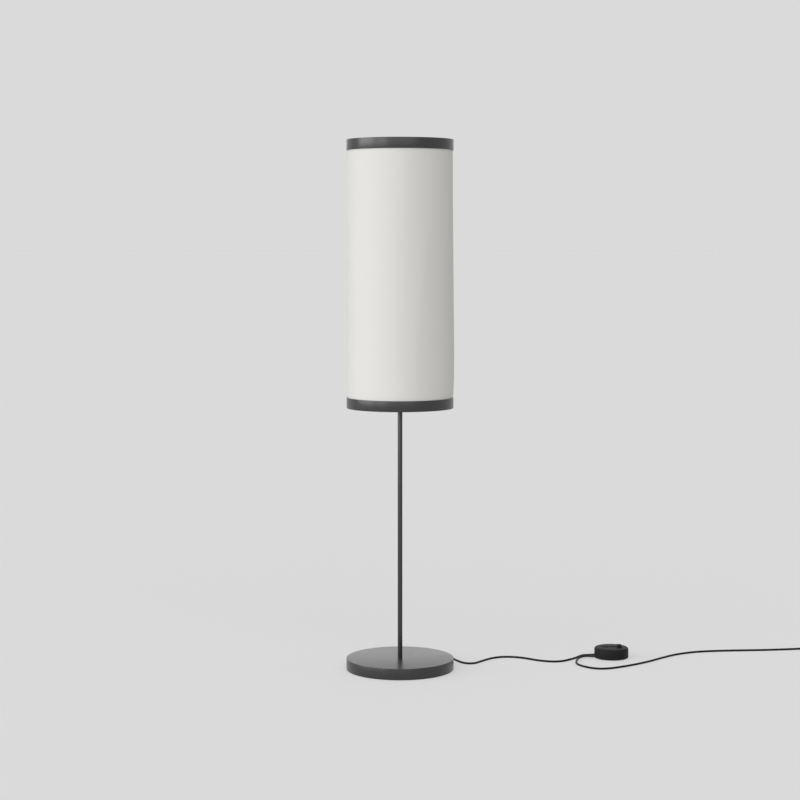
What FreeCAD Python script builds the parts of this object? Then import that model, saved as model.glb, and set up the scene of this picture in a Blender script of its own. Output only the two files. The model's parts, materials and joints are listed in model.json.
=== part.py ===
"""Column floor lamp: disc base, thin stem, tall cylindrical shade, foot dimmer and plug.

Millimetres. The origin is at the centre of the base on the floor, +Z is up, the front is -Y
and the leads run over the floor towards +X. The driving dimensions are in the sheet "Sizes".
"""
import FreeCAD, Part
import math
import os

import Sketcher
from FreeCAD import Placement, Rotation, Vector

X_AXIS = Vector(1, 0, 0)
Y_AXIS = Vector(0, 1, 0)
Z_AXIS = Vector(0, 0, 1)

# ---------------------------------------------------------------- driving dimensions

DIMENSIONS = {
    # base
    "base_dia": 252.0,
    "base_height": 26.6,
    "cover_wall": 2.5,
    "cover_lift": 0.8,
    "cover_round": 2.2,
    "pad_dia": 244.0,
    "pad_thick": 2.0,
    "weight_dia": 246.0,
    "weight_rim": 9.0,
    "weight_web_top": 17.0,
    "weight_hub_dia": 68.0,
    "weight_rib_wide": 7.0,
    "well_dia": 48.0,
    "well_top": 20.6,
    "channel_wide": 12.0,
    "channel_top": 13.0,
    "exit_height": 7.5,
    "exit_angle": 75.0,
    "relief_reach": 26.0,
    "clamp_out": 80.0,
    "clamp_long": 34.0,
    "clamp_wide": 10.0,
    "clamp_low": 3.4,
    "clamp_top": 6.4,
    # stem
    "stem_dia": 11.2,
    "stem_wall": 1.0,
    "nipple_dia": 9.0,
    "nipple_bore": 6.2,
    "nut_flats": 15.0,
    "stem_joint": 660.0,
    "junction_dia": 30.0,
    "junction_tall": 32.0,
    "stem_top": 1220.0,
    # shade
    "shade_dia": 250.0,
    "shade_low": 615.0,
    "shade_high": 1240.0,
    "ring_tall": 25.0,
    "ring_thick": 1.6,
    "fabric_thick": 1.0,
    "hoop_thick": 1.5,
    "hoop_tall": 20.0,
    "hoop_in": 3.0,
    "strut_dia": 4.0,
    "arm_wide": 7.0,
    "arm_thick": 3.0,
    "spider_gap": 0.3,
    "spider_hub_dia": 26.0,
    "finial_dia": 20.0,
    "finial_tall": 13.3,
    "carrier_low": 608.0,
    "carrier_tall": 14.0,
    "carrier_hub_dia": 18.0,
    "tip_gap": 0.5,
    # light
    "bracket_out": 42.0,
    "bracket_lower": 745.0,
    "bracket_upper": 985.0,
    "bracket_tall": 12.0,
    "bracket_thick": 2.5,
    "bracket_hub_dia": 20.0,
    "holder_dia": 39.0,
    "holder_tall": 50.0,
    "bulb_seat": 15.2,
    "bulb_dia": 60.0,
    "bulb_cap_dia": 26.2,
    # dimmer
    "dimmer_across": 510.0,
    "dimmer_back": 122.0,
    "dimmer_dia": 82.0,
    "dimmer_split": 9.0,
    "dimmer_height": 26.0,
    "dimmer_round": 5.0,
    "dimmer_wall": 2.0,
    "dimmer_foot": 1.0,
    "knob_out": 19.0,
    "knob_long": 9.0,
    "knob_wide": 16.0,
    "knob_top": 31.6,
    "slot_long": 42.0,
    "slot_wide": 3.4,
    "track_sink": 0.8,
    "entry_height": 5.2,
    "entry_apart": 12.0,
    "entry_reach": 12.0,
    # leads, coil and plug
    "lead_dia": 5.0,
    "branch_dia": 3.2,
    "coil_across": 1042.0,
    "coil_start": 32.0,
    "coil_step": 5.5,
    "coil_layer": 5.45,
    "coil_low": 3.4,
    "coil_end": 6.0,
    "plug_relief_long": 24.0,
    "plug_long": 36.0,
    "plug_wide": 35.0,
    "plug_thick": 17.2,
    "pin_dia": 4.0,
    "pin_long": 19.0,
    "pin_apart": 19.0,
}

LAYER_HALF_TURNS = (4, 5)   # half turns of the coil's lower and upper layer

ARM_ANGLES = (90, 210, 330)         # arms of the spider and of the carrier
STRUT_ANGLES = (30, 150, 270)       # rods between the shade's hoops
DIMMER_SCREWS = (-1, 1)             # sides of the dimmer's middle, front and back

doc = FreeCAD.newDocument("ColumnFloorLamp")
sheet = doc.addObject("Spreadsheet::Sheet", "Sizes")
for row, (alias, number) in enumerate(DIMENSIONS.items(), start=1):
    sheet.set(f"A{row}", alias)
    sheet.set(f"B{row}", str(number))
    sheet.setAlias(f"B{row}", alias)
doc.recompute()


class Size:
    """A cell of the sheet, or a sum or product of some: its number and its expression."""

    def __init__(self, value, text):
        self.value = value
        self.text = text

    def __add__(self, other):
        return joined(self, "+", other)

    def __radd__(self, other):
        return joined(other, "+", self)

    def __sub__(self, other):
        return joined(self, "-", other)

    def __rsub__(self, other):
        return joined(other, "-", self)

    def __mul__(self, other):
        return joined(self, "*", other)

    def __rmul__(self, other):
        return joined(other, "*", self)

    def __truediv__(self, other):
        return joined(self, "/", other)

    def __neg__(self):
        return joined(0.0, "-", self)


def value_of(size):
    return size.value if isinstance(size, Size) else float(size)


def text_of(size):
    return size.text if isinstance(size, Size) else f"({float(size):.6f})"


def joined(left, sign, right):
    """The size that two sizes make with one of the four signs."""
    first, second = value_of(left), value_of(right)
    if sign == "+":
        value = first + second
    elif sign == "-":
        value = first - second
    elif sign == "*":
        value = first * second
    else:
        value = first / second
    return Size(value, f"({text_of(left)} {sign} {text_of(right)})")


class SheetSizes:
    """Every cell of the sheet, by its alias, as a Size."""

    def __getattr__(self, alias):
        return Size(DIMENSIONS[alias], f"Sizes.{alias}")


s = SheetSizes()
nodes = {}

# ---------------------------------------------------------------- helpers


def bind(item, prop, size):
    """Set a property to a size, and keep it bound to the sheet."""
    if isinstance(size, Size):
        item.setExpression(prop, size.text)
    else:
        setattr(item, prop, size)


def place(item, x=0.0, y=0.0, z=0.0, axis=Z_AXIS, angle=0.0):
    """Put an item at x, y, z, turned about axis by angle degrees."""
    spot = Vector(value_of(x), value_of(y), value_of(z))
    item.Placement = Placement(spot, Rotation(axis, value_of(angle)))
    for prop, size in (("Placement.Base.x", x), ("Placement.Base.y", y), ("Placement.Base.z", z)):
        if isinstance(size, Size):
            item.setExpression(prop, size.text)
    return item


def node(item, label):
    """Keep an item as the sub-part that label names."""
    item.Label = label
    nodes[label] = item
    return item


def cylinder(name, dia, tall, **where):
    item = doc.addObject("Part::Cylinder", name)
    bind(item, "Radius", dia / 2)
    bind(item, "Height", tall)
    return place(item, **where)


def box(name, long, wide, tall, **where):
    """A box centred on x and y, standing on z."""
    item = doc.addObject("Part::Box", name)
    bind(item, "Length", long)
    bind(item, "Width", wide)
    bind(item, "Height", tall)
    spot = dict(where)
    spot["x"] = where.get("x", 0.0) - long / 2
    spot["y"] = where.get("y", 0.0) - wide / 2
    return place(item, **spot)


def cut(name, base, *tools):
    item = doc.addObject("Part::Cut", name)
    item.Base = base
    item.Tool = tools[0] if len(tools) == 1 else fuse(name + "_tools", *tools)
    return item


def fuse(name, *shapes):
    item = doc.addObject("Part::MultiFuse", name)
    item.Shapes = list(shapes)
    return item


def group(label, items):
    """Several separate solids as one sub-part."""
    item = doc.addObject("Part::Compound", label)
    item.Links = list(items)
    return node(item, label)


def plane(body, role):
    return next(f for f in body.Origin.OriginFeatures if f.Role == role)


def outline(body, name, role, points):
    """A closed outline of straight lines whose every corner is bound to the sheet."""
    sketch = body.newObject("Sketcher::SketchObject", name)
    sketch.AttachmentSupport = (plane(body, role), [""])
    sketch.MapMode = "FlatFace"
    corners = [Vector(value_of(x), value_of(y), 0) for x, y in points]
    count = len(corners)
    for i, corner in enumerate(corners):
        sketch.addGeometry(Part.LineSegment(corner, corners[(i + 1) % count]), False)
    for i in range(count):
        sketch.addConstraint(Sketcher.Constraint("Coincident", i, 2, (i + 1) % count, 1))
    for i, (across, up) in enumerate(points):
        for kind, size, axis in (("DistanceX", across, -2), ("DistanceY", up, -1)):
            if value_of(size) == 0:
                sketch.addConstraint(Sketcher.Constraint("PointOnObject", i, 1, axis))
                continue
            rule = Sketcher.Constraint(kind, -1, 1, i, 1, value_of(size))
            index = sketch.addConstraint(rule)
            if isinstance(size, Size):
                sketch.renameConstraint(index, f"{kind}_{i}")
                sketch.setExpression(f"Constraints.{kind}_{i}", size.text)
    return sketch


def turned(name, points):
    """A body turned about its Z axis from an outline of (radius, height) corners."""
    body = doc.addObject("PartDesign::Body", name)
    sketch = outline(body, name + "_profile", "XZ_Plane", points)
    turn = body.newObject("PartDesign::Revolution", name + "_turn")
    turn.Profile = sketch
    turn.ReferenceAxis = (sketch, ["V_Axis"])
    turn.Angle = 360
    sketch.Visibility = False
    doc.recompute()
    return body


def round_rims(body, rims, radius, kind="PartDesign::Fillet"):
    """Round or chamfer the circular edges at the (radius, height) pairs given."""
    names = []
    plain = body.Tip
    for index, edge in enumerate(plain.Shape.Edges, start=1):
        if not isinstance(edge.Curve, Part.Circle):
            continue
        for rim, height in rims:
            near = abs(edge.Curve.Radius - value_of(rim)) < 0.01
            if near and abs(edge.Curve.Center.z - value_of(height)) < 0.01:
                names.append(f"Edge{index}")
    rounding = body.newObject(kind, body.Name + "_" + kind.split("::")[1].lower())
    rounding.Base = (plain, names)
    rounding.setExpression("Radius" if kind.endswith("Fillet") else "Size", text_of(radius))
    doc.recompute()
    return body


def pocket(body, name, role, points, depth, reverse):
    """Cut an outline through a body, and stop if nothing is cut."""
    before = body.Tip.Shape.Volume
    sketch = outline(body, name + "_outline", role, points)
    cutter = body.newObject("PartDesign::Pocket", name)
    cutter.Profile = sketch
    cutter.Type = "Length"
    cutter.setExpression("Length", text_of(depth))
    cutter.Reversed = reverse
    sketch.Visibility = False
    doc.recompute()
    if not body.Tip.Shape.Volume < before - 1.0:
        raise RuntimeError(f"{name} cuts nothing")
    return cutter


def rectangle(x, y, long, wide):
    """The corners of a rectangle about (x, y)."""
    left, right = x - long / 2, x + long / 2
    low, high = y - wide / 2, y + wide / 2
    return [(left, low), (right, low), (right, high), (left, high)]


def polar(radius, angle):
    """The x and y of a point at a radius and an angle in degrees."""
    turn = math.radians(angle)
    return radius * math.cos(turn), radius * math.sin(turn)


def hexagon(name, flats, tall, **where):
    """A hexagonal prism of the given width across its flats."""
    item = doc.addObject("Part::Prism", name)
    item.Polygon = 6
    bind(item, "Circumradius", flats / math.sqrt(3.0))
    bind(item, "Height", tall)
    return place(item, **where)


def feature(label, shape):
    """A sub-part whose shape is worked out here."""
    item = doc.addObject("Part::Feature", label)
    item.Shape = shape
    return node(item, label)


# ---------------------------------------------------------------- base


def make_base():
    """The disc base: cover, iron weight, pad, and what holds the stem and the lead in it."""
    make_cover()
    make_weight()
    pad = turned("base_pad", [
        (0.0, 0.0),
        (s.pad_dia / 2 - 0.6, 0.0),
        (s.pad_dia / 2, 0.6),
        (s.pad_dia / 2, s.pad_thick),
        (0.0, s.pad_thick),
    ])
    node(pad, "base_pad")
    washer_low = s.well_top - 1.6
    nut_low = washer_low - 6.0
    foot_low = nut_low - 0.6
    tube = cylinder("foot_tube", s.nipple_dia, s.base_height + 34.0 - foot_low, z=foot_low)
    bore = cylinder("foot_bore", s.nipple_bore, 60.0, z=foot_low - 1)
    node(cut("foot_nipple", tube, bore), "foot_nipple")
    disc = cylinder("washer_disc", s.nipple_dia * 2.4, 1.6, z=washer_low)
    hole = cylinder("washer_hole", s.nipple_dia + 0.4, 4.0, z=washer_low - 1)
    node(cut("foot_washer", disc, hole), "foot_washer")
    hexed = hexagon("foot_hex", s.nut_flats, 6.0, z=nut_low)
    thread = cylinder("foot_thread", s.nipple_dia + 0.2, 8.0, z=nut_low - 1)
    node(cut("foot_nut", hexed, thread), "foot_nut")
    make_lead_clamp()
    make_base_relief()


def make_cover():
    """The spun steel cover: a flat top, a straight side, a small round between them."""
    outer, inner = s.base_dia / 2, s.base_dia / 2 - s.cover_wall
    under = s.base_height - s.cover_wall
    hole = s.nipple_dia / 2 + 0.2
    cover = turned("base_cover", [
        (hole, under),
        (inner, under),
        (inner, s.cover_lift),
        (outer, s.cover_lift),
        (outer, s.base_height),
        (hole, s.base_height),
    ])
    round_rims(cover, [(outer, s.base_height)], s.cover_round)
    across = rectangle(0.0, s.exit_height, s.nipple_dia + 0.2, s.nipple_dia + 0.2)
    pocket(cover, "lead_hole", "XZ_Plane", across, s.base_dia, reverse=False)
    place(cover, angle=s.exit_angle - 90.0)
    node(cover, "base_cover")


def make_weight():
    """The iron weight: a web with a rim, a hub and six ribs that carry the cover's top."""
    outer = s.weight_dia / 2
    top = s.base_height - s.cover_wall
    hub = s.weight_hub_dia / 2
    weight = turned("base_weight", [
        (s.well_dia / 2, s.pad_thick),
        (outer, s.pad_thick),
        (outer, top),
        (outer - s.weight_rim, top),
        (outer - s.weight_rim - 2.0, s.weight_web_top),
        (hub + 2.0, s.weight_web_top),
        (hub, top),
        (s.nipple_dia / 2 + 0.2, top),
        (s.nipple_dia / 2 + 0.2, s.well_top),
        (s.well_dia / 2, s.well_top),
    ])
    rib = outline(weight, "rib_outline", "XY_Plane", rectangle(
        (hub + outer - s.weight_rim) / 2, 0.0,
        outer - s.weight_rim - hub + 2.0, s.weight_rib_wide))
    rib.AttachmentOffset = Placement(Vector(0, 0, value_of(s.weight_web_top) - 1.0), Rotation())
    pad = weight.newObject("PartDesign::Pad", "rib")
    pad.Profile = rib
    pad.setExpression("Length", (top - s.weight_web_top - 1.0).text)
    rib.Visibility = False
    doc.recompute()
    ribs = weight.newObject("PartDesign::PolarPattern", "ribs")
    ribs.Originals = [pad]
    ribs.Axis = (rib, ["N_Axis"])
    ribs.Angle = 360
    ribs.Occurrences = 6
    weight.Tip = ribs
    doc.recompute()
    channel = rectangle(0.0, outer / 2 + 4.0, s.channel_wide, outer + 2.0)
    pocket(weight, "lead_channel", "XY_Plane", channel, s.channel_top, reverse=True)
    seat = rectangle(0.0, s.clamp_out, s.clamp_long + 0.6, s.clamp_wide + 0.6)
    pocket(weight, "clamp_seat", "XY_Plane", seat, s.clamp_top, reverse=True)
    place(weight, angle=s.exit_angle - 90.0)
    bores = []
    for side in (-1, 1):
        x, y = clamp_screw_place(side)
        bores.append(cylinder(f"screw_bore_{side + 1}", s.pin_dia + 0.1, 14.0, x=x, y=y))
    node(cut("weight_bored", weight, *bores), "base_weight")


def clamp_screw_place(side):
    """Where a clamp screw stands, on one side of the lead's channel."""
    along = value_of(s.clamp_out)
    aside = side * (value_of(s.clamp_long) / 2 - 5.0)
    turn = math.radians(value_of(s.exit_angle))
    x = along * math.cos(turn) - aside * math.sin(turn)
    y = along * math.sin(turn) + aside * math.cos(turn)
    return x, y


def make_lead_clamp():
    """The bar that grips the lead in the weight's channel, and its two screws."""
    bar = box("clamp_bar", s.clamp_long, s.clamp_wide, s.clamp_top - s.clamp_low, z=s.clamp_low)
    groove = cylinder("clamp_groove", s.lead_dia + 0.2, s.clamp_wide + 4.0,
                      y=s.clamp_wide / 2 + 2.0, z=s.exit_height, axis=X_AXIS, angle=90.0)
    holes = []
    for side in (-1, 1):
        aside = side * (s.clamp_long / 2 - 5.0)
        holes.append(cylinder(f"clamp_hole_{side + 1}", s.lead_dia - 0.8, 12.0, x=aside, z=0.0))
    bar = cut("lead_clamp", bar, groove, *holes)
    x, y = polar(value_of(s.clamp_out), value_of(s.exit_angle))
    place(bar, x=x, y=y, angle=s.exit_angle - 90.0)
    node(bar, "lead_clamp")
    screws = []
    for side in (-1, 1):
        screw = turned(f"clamp_screw_{side + 1}", [
            (0.0, s.clamp_low - 1.2),
            (3.0, s.clamp_low - 1.2),
            (3.5, s.clamp_low),
            (2.0, s.clamp_low),
            (2.0, s.clamp_low + 10.0),
            (0.0, s.clamp_low + 10.0),
        ])
        x, y = clamp_screw_place(side)
        screws.append(place(screw, x=x, y=y))
    group("clamp_screws", screws)


def make_base_relief():
    """The tapered sleeve that the lead leaves the base through."""
    wall_in, wall_out = s.base_dia / 2 - s.cover_wall, s.base_dia / 2
    tip = wall_out + s.relief_reach
    bore = s.lead_dia / 2 + 0.1
    sleeve = turned("base_relief", [
        (bore, wall_in - 2.0),
        (5.2, wall_in - 2.0),
        (5.2, wall_in - 0.4),
        (4.4, wall_in - 0.4),
        (4.4, wall_out + 0.3),
        (5.7, wall_out + 0.3),
        (5.7, wall_out + 1.8),
        (4.8, wall_out + 2.8),
        (3.5, tip),
        (bore, tip),
    ])
    turn = Rotation(Z_AXIS, value_of(s.exit_angle)) * Rotation(Y_AXIS, 90)
    sleeve.Placement = Placement(Vector(0, 0, value_of(s.exit_height)), turn)
    node(sleeve, "base_relief")


# ---------------------------------------------------------------- stem


def tube(label, outer, inner, low, high):
    """A plain tube between two heights."""
    rod = cylinder(label + "_rod", outer, high - low, z=low)
    bore = cylinder(label + "_bore", inner, high - low + 2.0, z=low - 1.0)
    return cut(label, rod, bore)


def make_stem():
    """Two tubes screwed together at a small junction cup, and the nipple for the shade."""
    inner = s.stem_dia - s.stem_wall * 2
    cup_top = s.stem_joint + s.junction_tall
    node(tube("stem_lower", s.stem_dia, inner, s.base_height, s.stem_joint), "stem_lower")
    node(tube("stem_upper", s.stem_dia, inner, cup_top, s.stem_top), "stem_upper")
    top = s.stem_top + 15.5
    node(tube("top_nipple", s.nipple_dia, s.nipple_bore - 1.2, s.stem_top - 25.0, top), "top_nipple")
    make_junction(cup_top)


def make_junction(cup_top):
    """The junction cup and its lid, the nipples and nuts that hold them, and the terminals."""
    radius = s.junction_dia / 2
    hole = s.nipple_dia / 2 + 0.1
    cup = turned("cup_shell", [
        (hole, s.stem_joint),
        (radius - 2.0, s.stem_joint),
        (radius, s.stem_joint + 2.0),
        (radius, cup_top - 4.0),
        (radius - 2.0, cup_top - 4.0),
        (radius - 2.0, s.stem_joint + 4.0),
        (hole, s.stem_joint + 4.0),
    ])
    doors = cylinder("cup_doors", s.branch_dia + 1.4, s.junction_dia + 4.0,
                     x=-radius - 2.0, z=s.stem_joint + 14.0, axis=Y_AXIS, angle=90.0)
    node(cut("junction_cup", cup, doors), "junction_cup")
    lid = turned("junction_lid", [
        (hole, cup_top - 4.0),
        (radius, cup_top - 4.0),
        (radius, cup_top - 2.0),
        (radius - 2.0, cup_top),
        (hole, cup_top),
    ])
    node(lid, "junction_lid")
    low = tube("nipple_low", s.nipple_dia, s.nipple_bore, s.stem_joint - 28.0, s.stem_joint + 8.5)
    high = tube("nipple_high", s.nipple_dia, s.nipple_bore, cup_top - 8.5, cup_top + 28.0)
    group("junction_nipples", [low, high])
    nuts = []
    for name, level in (("nut_low", s.stem_joint + 4.0), ("nut_high", cup_top - 8.0)):
        hexed = hexagon(name + "_hex", s.nut_flats, 4.0, z=level)
        thread = cylinder(name + "_thread", s.nipple_dia + 0.2, 6.0, z=level - 1.0)
        nuts.append(cut(name, hexed, thread))
    group("junction_nuts", nuts)
    block = box("block", s.junction_dia / 2, s.junction_dia / 3, s.junction_dia / 3, z=s.stem_joint + 9.5)
    wells = []
    for side in (-1, 1):
        wells.append(cylinder(f"block_well_{side + 1}", s.branch_dia, 3.0,
                              x=side * s.junction_dia / 8, z=s.stem_joint + 17.5))
    node(cut("terminal_block", block, *wells), "terminal_block")


# ---------------------------------------------------------------- light


def make_bracket(label, low, side):
    """A clamp on the stem with an arm and a plate for one lampholder, to the +X or -X side."""
    hub = cylinder(label + "_hub", s.bracket_hub_dia, s.bracket_tall, z=low)
    arm = box(label + "_arm", s.bracket_out - 6.0, s.stem_dia, s.bracket_thick,
              x=side * (s.bracket_out + 6.0) / 2, z=low)
    plate = cylinder(label + "_plate", s.holder_dia * 2 / 3, s.bracket_thick,
                     x=side * s.bracket_out, z=low)
    clamp = cylinder(label + "_bore", s.stem_dia + 0.1, s.bracket_tall + 2.0, z=low - 1.0)
    hole = cylinder(label + "_hole", s.nipple_dia + 1.2, s.bracket_thick + 2.0,
                    x=side * s.bracket_out, z=low - 1.0)
    screw = set_screw_bore(label, low + s.bracket_tall - 5.0, s.bracket_hub_dia)
    node(cut(label, fuse(label + "_body", hub, arm, plate), clamp, hole, screw), label)


def set_screw_bore(label, level, hub_dia):
    """The hole for a set screw, in the back of a hub on the stem."""
    return cylinder(label + "_tap", s.pin_dia + 0.1, hub_dia / 2 + 2.0,
                    y=hub_dia / 2 + 2.0, z=level, axis=X_AXIS, angle=90.0)


def set_screw(name, level, hub_dia):
    """A set screw that bears on the stem."""
    reach = hub_dia / 2 - s.stem_dia / 2 + 0.4
    return cylinder(name, s.pin_dia, reach, y=hub_dia / 2 + 0.4, z=level, axis=X_AXIS, angle=90.0)


def make_holder(label, low, side):
    """The moulded shell of one E27 lampholder, on its plate."""
    radius = s.holder_dia / 2
    shell = turned(label, [
        (3.0, -8.0),
        (5.0, -8.0),
        (5.0, 0.0),
        (radius - 5.5, 0.0),
        (radius - 2.0, 7.0),
        (radius, 16.0),
        (radius, s.holder_tall),
        (radius - 4.6, s.holder_tall),
        (radius - 4.6, 13.0),
        (3.0, 13.0),
    ])
    round_rims(shell, [(radius, s.holder_tall)], 1.2)
    place(shell, x=side * s.bracket_out, z=low + s.bracket_thick)
    node(shell, label)


def make_bulb(name, low, side):
    """One bulb in three pieces: screw cap, moulded body and opal globe."""
    seat = low + s.bracket_thick + s.bulb_seat
    across = side * s.bracket_out
    cap_radius = s.bulb_cap_dia / 2
    ridges = []
    for turn in range(4):
        level = 8.0 + 4.2 * turn
        ridges += [(cap_radius, level), (cap_radius - 0.8, level + 2.1)]
    cap = turned(name + "_cap", [
        (0.0, 0.0),
        (4.0, 0.0),
        (5.0, 1.5),
        (cap_radius - 1.0, 5.5),
        *ridges,
        (cap_radius - 0.3, 26.0),
        (0.0, 26.0),
    ])
    node(place(cap, x=across, z=seat), name + "_cap")
    flat_radius = s.bulb_dia / 2 * math.cos(math.radians(30))
    body = turned(name + "_body", [
        (0.0, 26.0),
        (cap_radius + 0.4, 26.0),
        (cap_radius + 1.4, 36.5),
        (cap_radius + 6.0, 48.0),
        (flat_radius, 60.0),
        (0.0, 60.0),
    ])
    node(place(body, x=across, z=seat), name + "_body")
    globe = doc.addObject("Part::Sphere", name + "_globe")
    bind(globe, "Radius", s.bulb_dia / 2)
    globe.Angle1 = -30
    node(place(globe, x=across, z=seat + 60.0 + s.bulb_dia / 4), name + "_globe")


def make_light():
    """Two brackets, lampholders and bulbs on opposite sides of the stem."""
    liners, contacts, nuts, screws = [], [], [], []
    for name, low, side in (("lower", s.bracket_lower, 1), ("upper", s.bracket_upper, -1)):
        make_bracket("bracket_" + name, low, side)
        make_holder("holder_" + name, low, side)
        make_bulb("bulb_" + name, low, side)
        across = side * s.bracket_out
        top = low + s.bracket_thick
        ring = cylinder(f"liner_ring_{name}", s.bulb_cap_dia + 3.0, 25.5, x=across, z=top + 15.0)
        hole = cylinder(f"liner_hole_{name}", s.bulb_cap_dia + 1.0, 30.0, x=across, z=top + 14.0)
        liners.append(cut(f"liner_{name}", ring, hole))
        contacts.append(cylinder(f"contact_{name}", s.nipple_dia, 1.5, x=across, z=top + 13.0))
        hexed = hexagon(f"holder_hex_{name}", s.nut_flats, 3.5, x=across, z=low - 3.5)
        thread = cylinder(f"holder_thread_{name}", s.nipple_dia + 1.2, 6.0, x=across, z=low - 4.5)
        nuts.append(cut(f"holder_nut_{name}", hexed, thread))
        level = low + s.bracket_tall - 5.0
        screws.append(set_screw(f"set_screw_{name}", level, s.bracket_hub_dia))
    level = s.carrier_low + s.carrier_tall - 5.0
    screws.append(set_screw("set_screw_carrier", level, s.carrier_hub_dia))
    group("holder_liners", liners)
    group("holder_contacts", contacts)
    group("holder_nuts", nuts)
    group("set_screws", screws)


# ---------------------------------------------------------------- shade


def band(label, outer, thick, low, tall):
    """A rolled flat strip: a thin ring between two heights."""
    return node(turned(label, [
        (outer - thick, low),
        (outer, low),
        (outer, low + tall),
        (outer - thick, low + tall),
    ]), label)


def make_arms(name, count_angles, reach, low):
    """Flat arms from the axis out to a reach, one for each angle."""
    arms = []
    for angle in count_angles:
        x, y = polar(reach / 2, angle)
        arm = box(f"{name}_arm_{angle}", reach, s.arm_wide, s.arm_thick)
        holder = doc.addObject("Part::Compound", f"{name}_arm_turned_{angle}")
        holder.Links = [arm]
        arms.append(place(holder, x=x, y=y, z=low, angle=float(angle)))
    return arms


def make_shade():
    """The fabric cylinder between two painted rings, with hoops, struts and spider inside."""
    ring = s.shade_dia / 2
    fabric = ring - s.ring_thick
    hoop = fabric - s.fabric_thick
    inside = hoop - s.hoop_thick
    band("bottom_ring", ring, s.ring_thick, s.shade_low, s.ring_tall)
    band("top_ring", ring, s.ring_thick, s.shade_high - s.ring_tall, s.ring_tall)
    band("shade_fabric", fabric, s.fabric_thick, s.shade_low + 1.0, s.shade_high - s.shade_low - 2.0)
    hoop_low = s.shade_low + s.hoop_in
    hoop_high = s.shade_high - s.hoop_in
    band("bottom_hoop", hoop, s.hoop_thick, hoop_low, s.hoop_tall)
    band("top_hoop", hoop, s.hoop_thick, hoop_high - s.hoop_tall, s.hoop_tall)
    struts = []
    for angle in STRUT_ANGLES:
        x, y = polar(inside - s.strut_dia / 2, angle)
        struts.append(cylinder(f"strut_{angle}", s.strut_dia, hoop_high - hoop_low, x=x, y=y, z=hoop_low))
    group("shade_struts", struts)
    make_spider(inside)
    make_finial()
    make_carrier(inside)


def make_spider(inside):
    """The hub that hangs the shade on the stem's top, and its three arms."""
    low = s.stem_top + s.spider_gap
    hub = cylinder("spider_hub", s.spider_hub_dia, s.arm_thick + 1.0, z=low)
    arms = make_arms("spider", ARM_ANGLES, inside, low + 0.5)
    hole = cylinder("spider_hole", s.nipple_dia + 0.8, 12.0, z=low - 4.0)
    node(cut("top_spider", fuse("spider_body", hub, *arms), hole), "top_spider")


def make_finial():
    """The fluted cap nut that holds the shade down on the stem."""
    low = s.stem_top + s.spider_gap + s.arm_thick + 1.4
    radius = s.finial_dia / 2
    bore = s.nipple_dia / 2 + 0.3
    finial = turned("finial_body", [
        (bore, low),
        (radius, low),
        (radius, low + s.finial_tall - 1.5),
        (radius - 1.5, low + s.finial_tall),
        (0.0, low + s.finial_tall),
        (0.0, low + s.finial_tall - 1.4),
        (bore, low + s.finial_tall - 1.4),
    ])
    flutes = []
    for step in range(12):
        x, y = polar(radius + 0.9, step * 30.0)
        flutes.append(cylinder(f"flute_{step}", s.pin_dia - 0.8, s.finial_tall, x=x, y=y, z=low + 2.5))
    node(cut("finial", finial, *flutes), "finial")


def make_carrier(inside):
    """The lower star, clamped on the stem, whose tips keep the shade's bottom hoop centred."""
    reach = inside - s.tip_gap - 3.0
    arm_low = s.carrier_low + s.carrier_tall - s.arm_thick - 1.0
    hub = cylinder("carrier_hub", s.carrier_hub_dia, s.carrier_tall, z=s.carrier_low)
    arms = make_arms("carrier", ARM_ANGLES, reach, arm_low)
    bore = cylinder("carrier_bore", s.stem_dia + 0.1, s.carrier_tall + 2.0, z=s.carrier_low - 1.0)
    tap = set_screw_bore("carrier", s.carrier_low + s.carrier_tall - 5.0, s.carrier_hub_dia)
    node(cut("bottom_carrier", fuse("carrier_body", hub, *arms), bore, tap), "bottom_carrier")
    tips = []
    for angle in ARM_ANGLES:
        x, y = polar(inside - s.tip_gap - 4.0, angle)
        block = box(f"tip_block_{angle}", 8.0, s.arm_wide + 3.0, s.arm_thick + 6.0)
        notch = box(f"tip_notch_{angle}", 8.0, s.arm_wide, s.arm_thick, x=-3.0, z=3.0)
        tip = cut(f"tip_{angle}", block, notch)
        tips.append(place(tip, x=x, y=y, z=arm_low - 3.0, angle=float(angle)))
    group("carrier_tips", tips)


# ---------------------------------------------------------------- dimmer


def at_dimmer(item, z=0.0, x=0.0, y=0.0):
    """Put an item at a place counted from the dimmer's middle."""
    return place(item, x=s.dimmer_across + x, y=s.dimmer_back + y, z=z)


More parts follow.
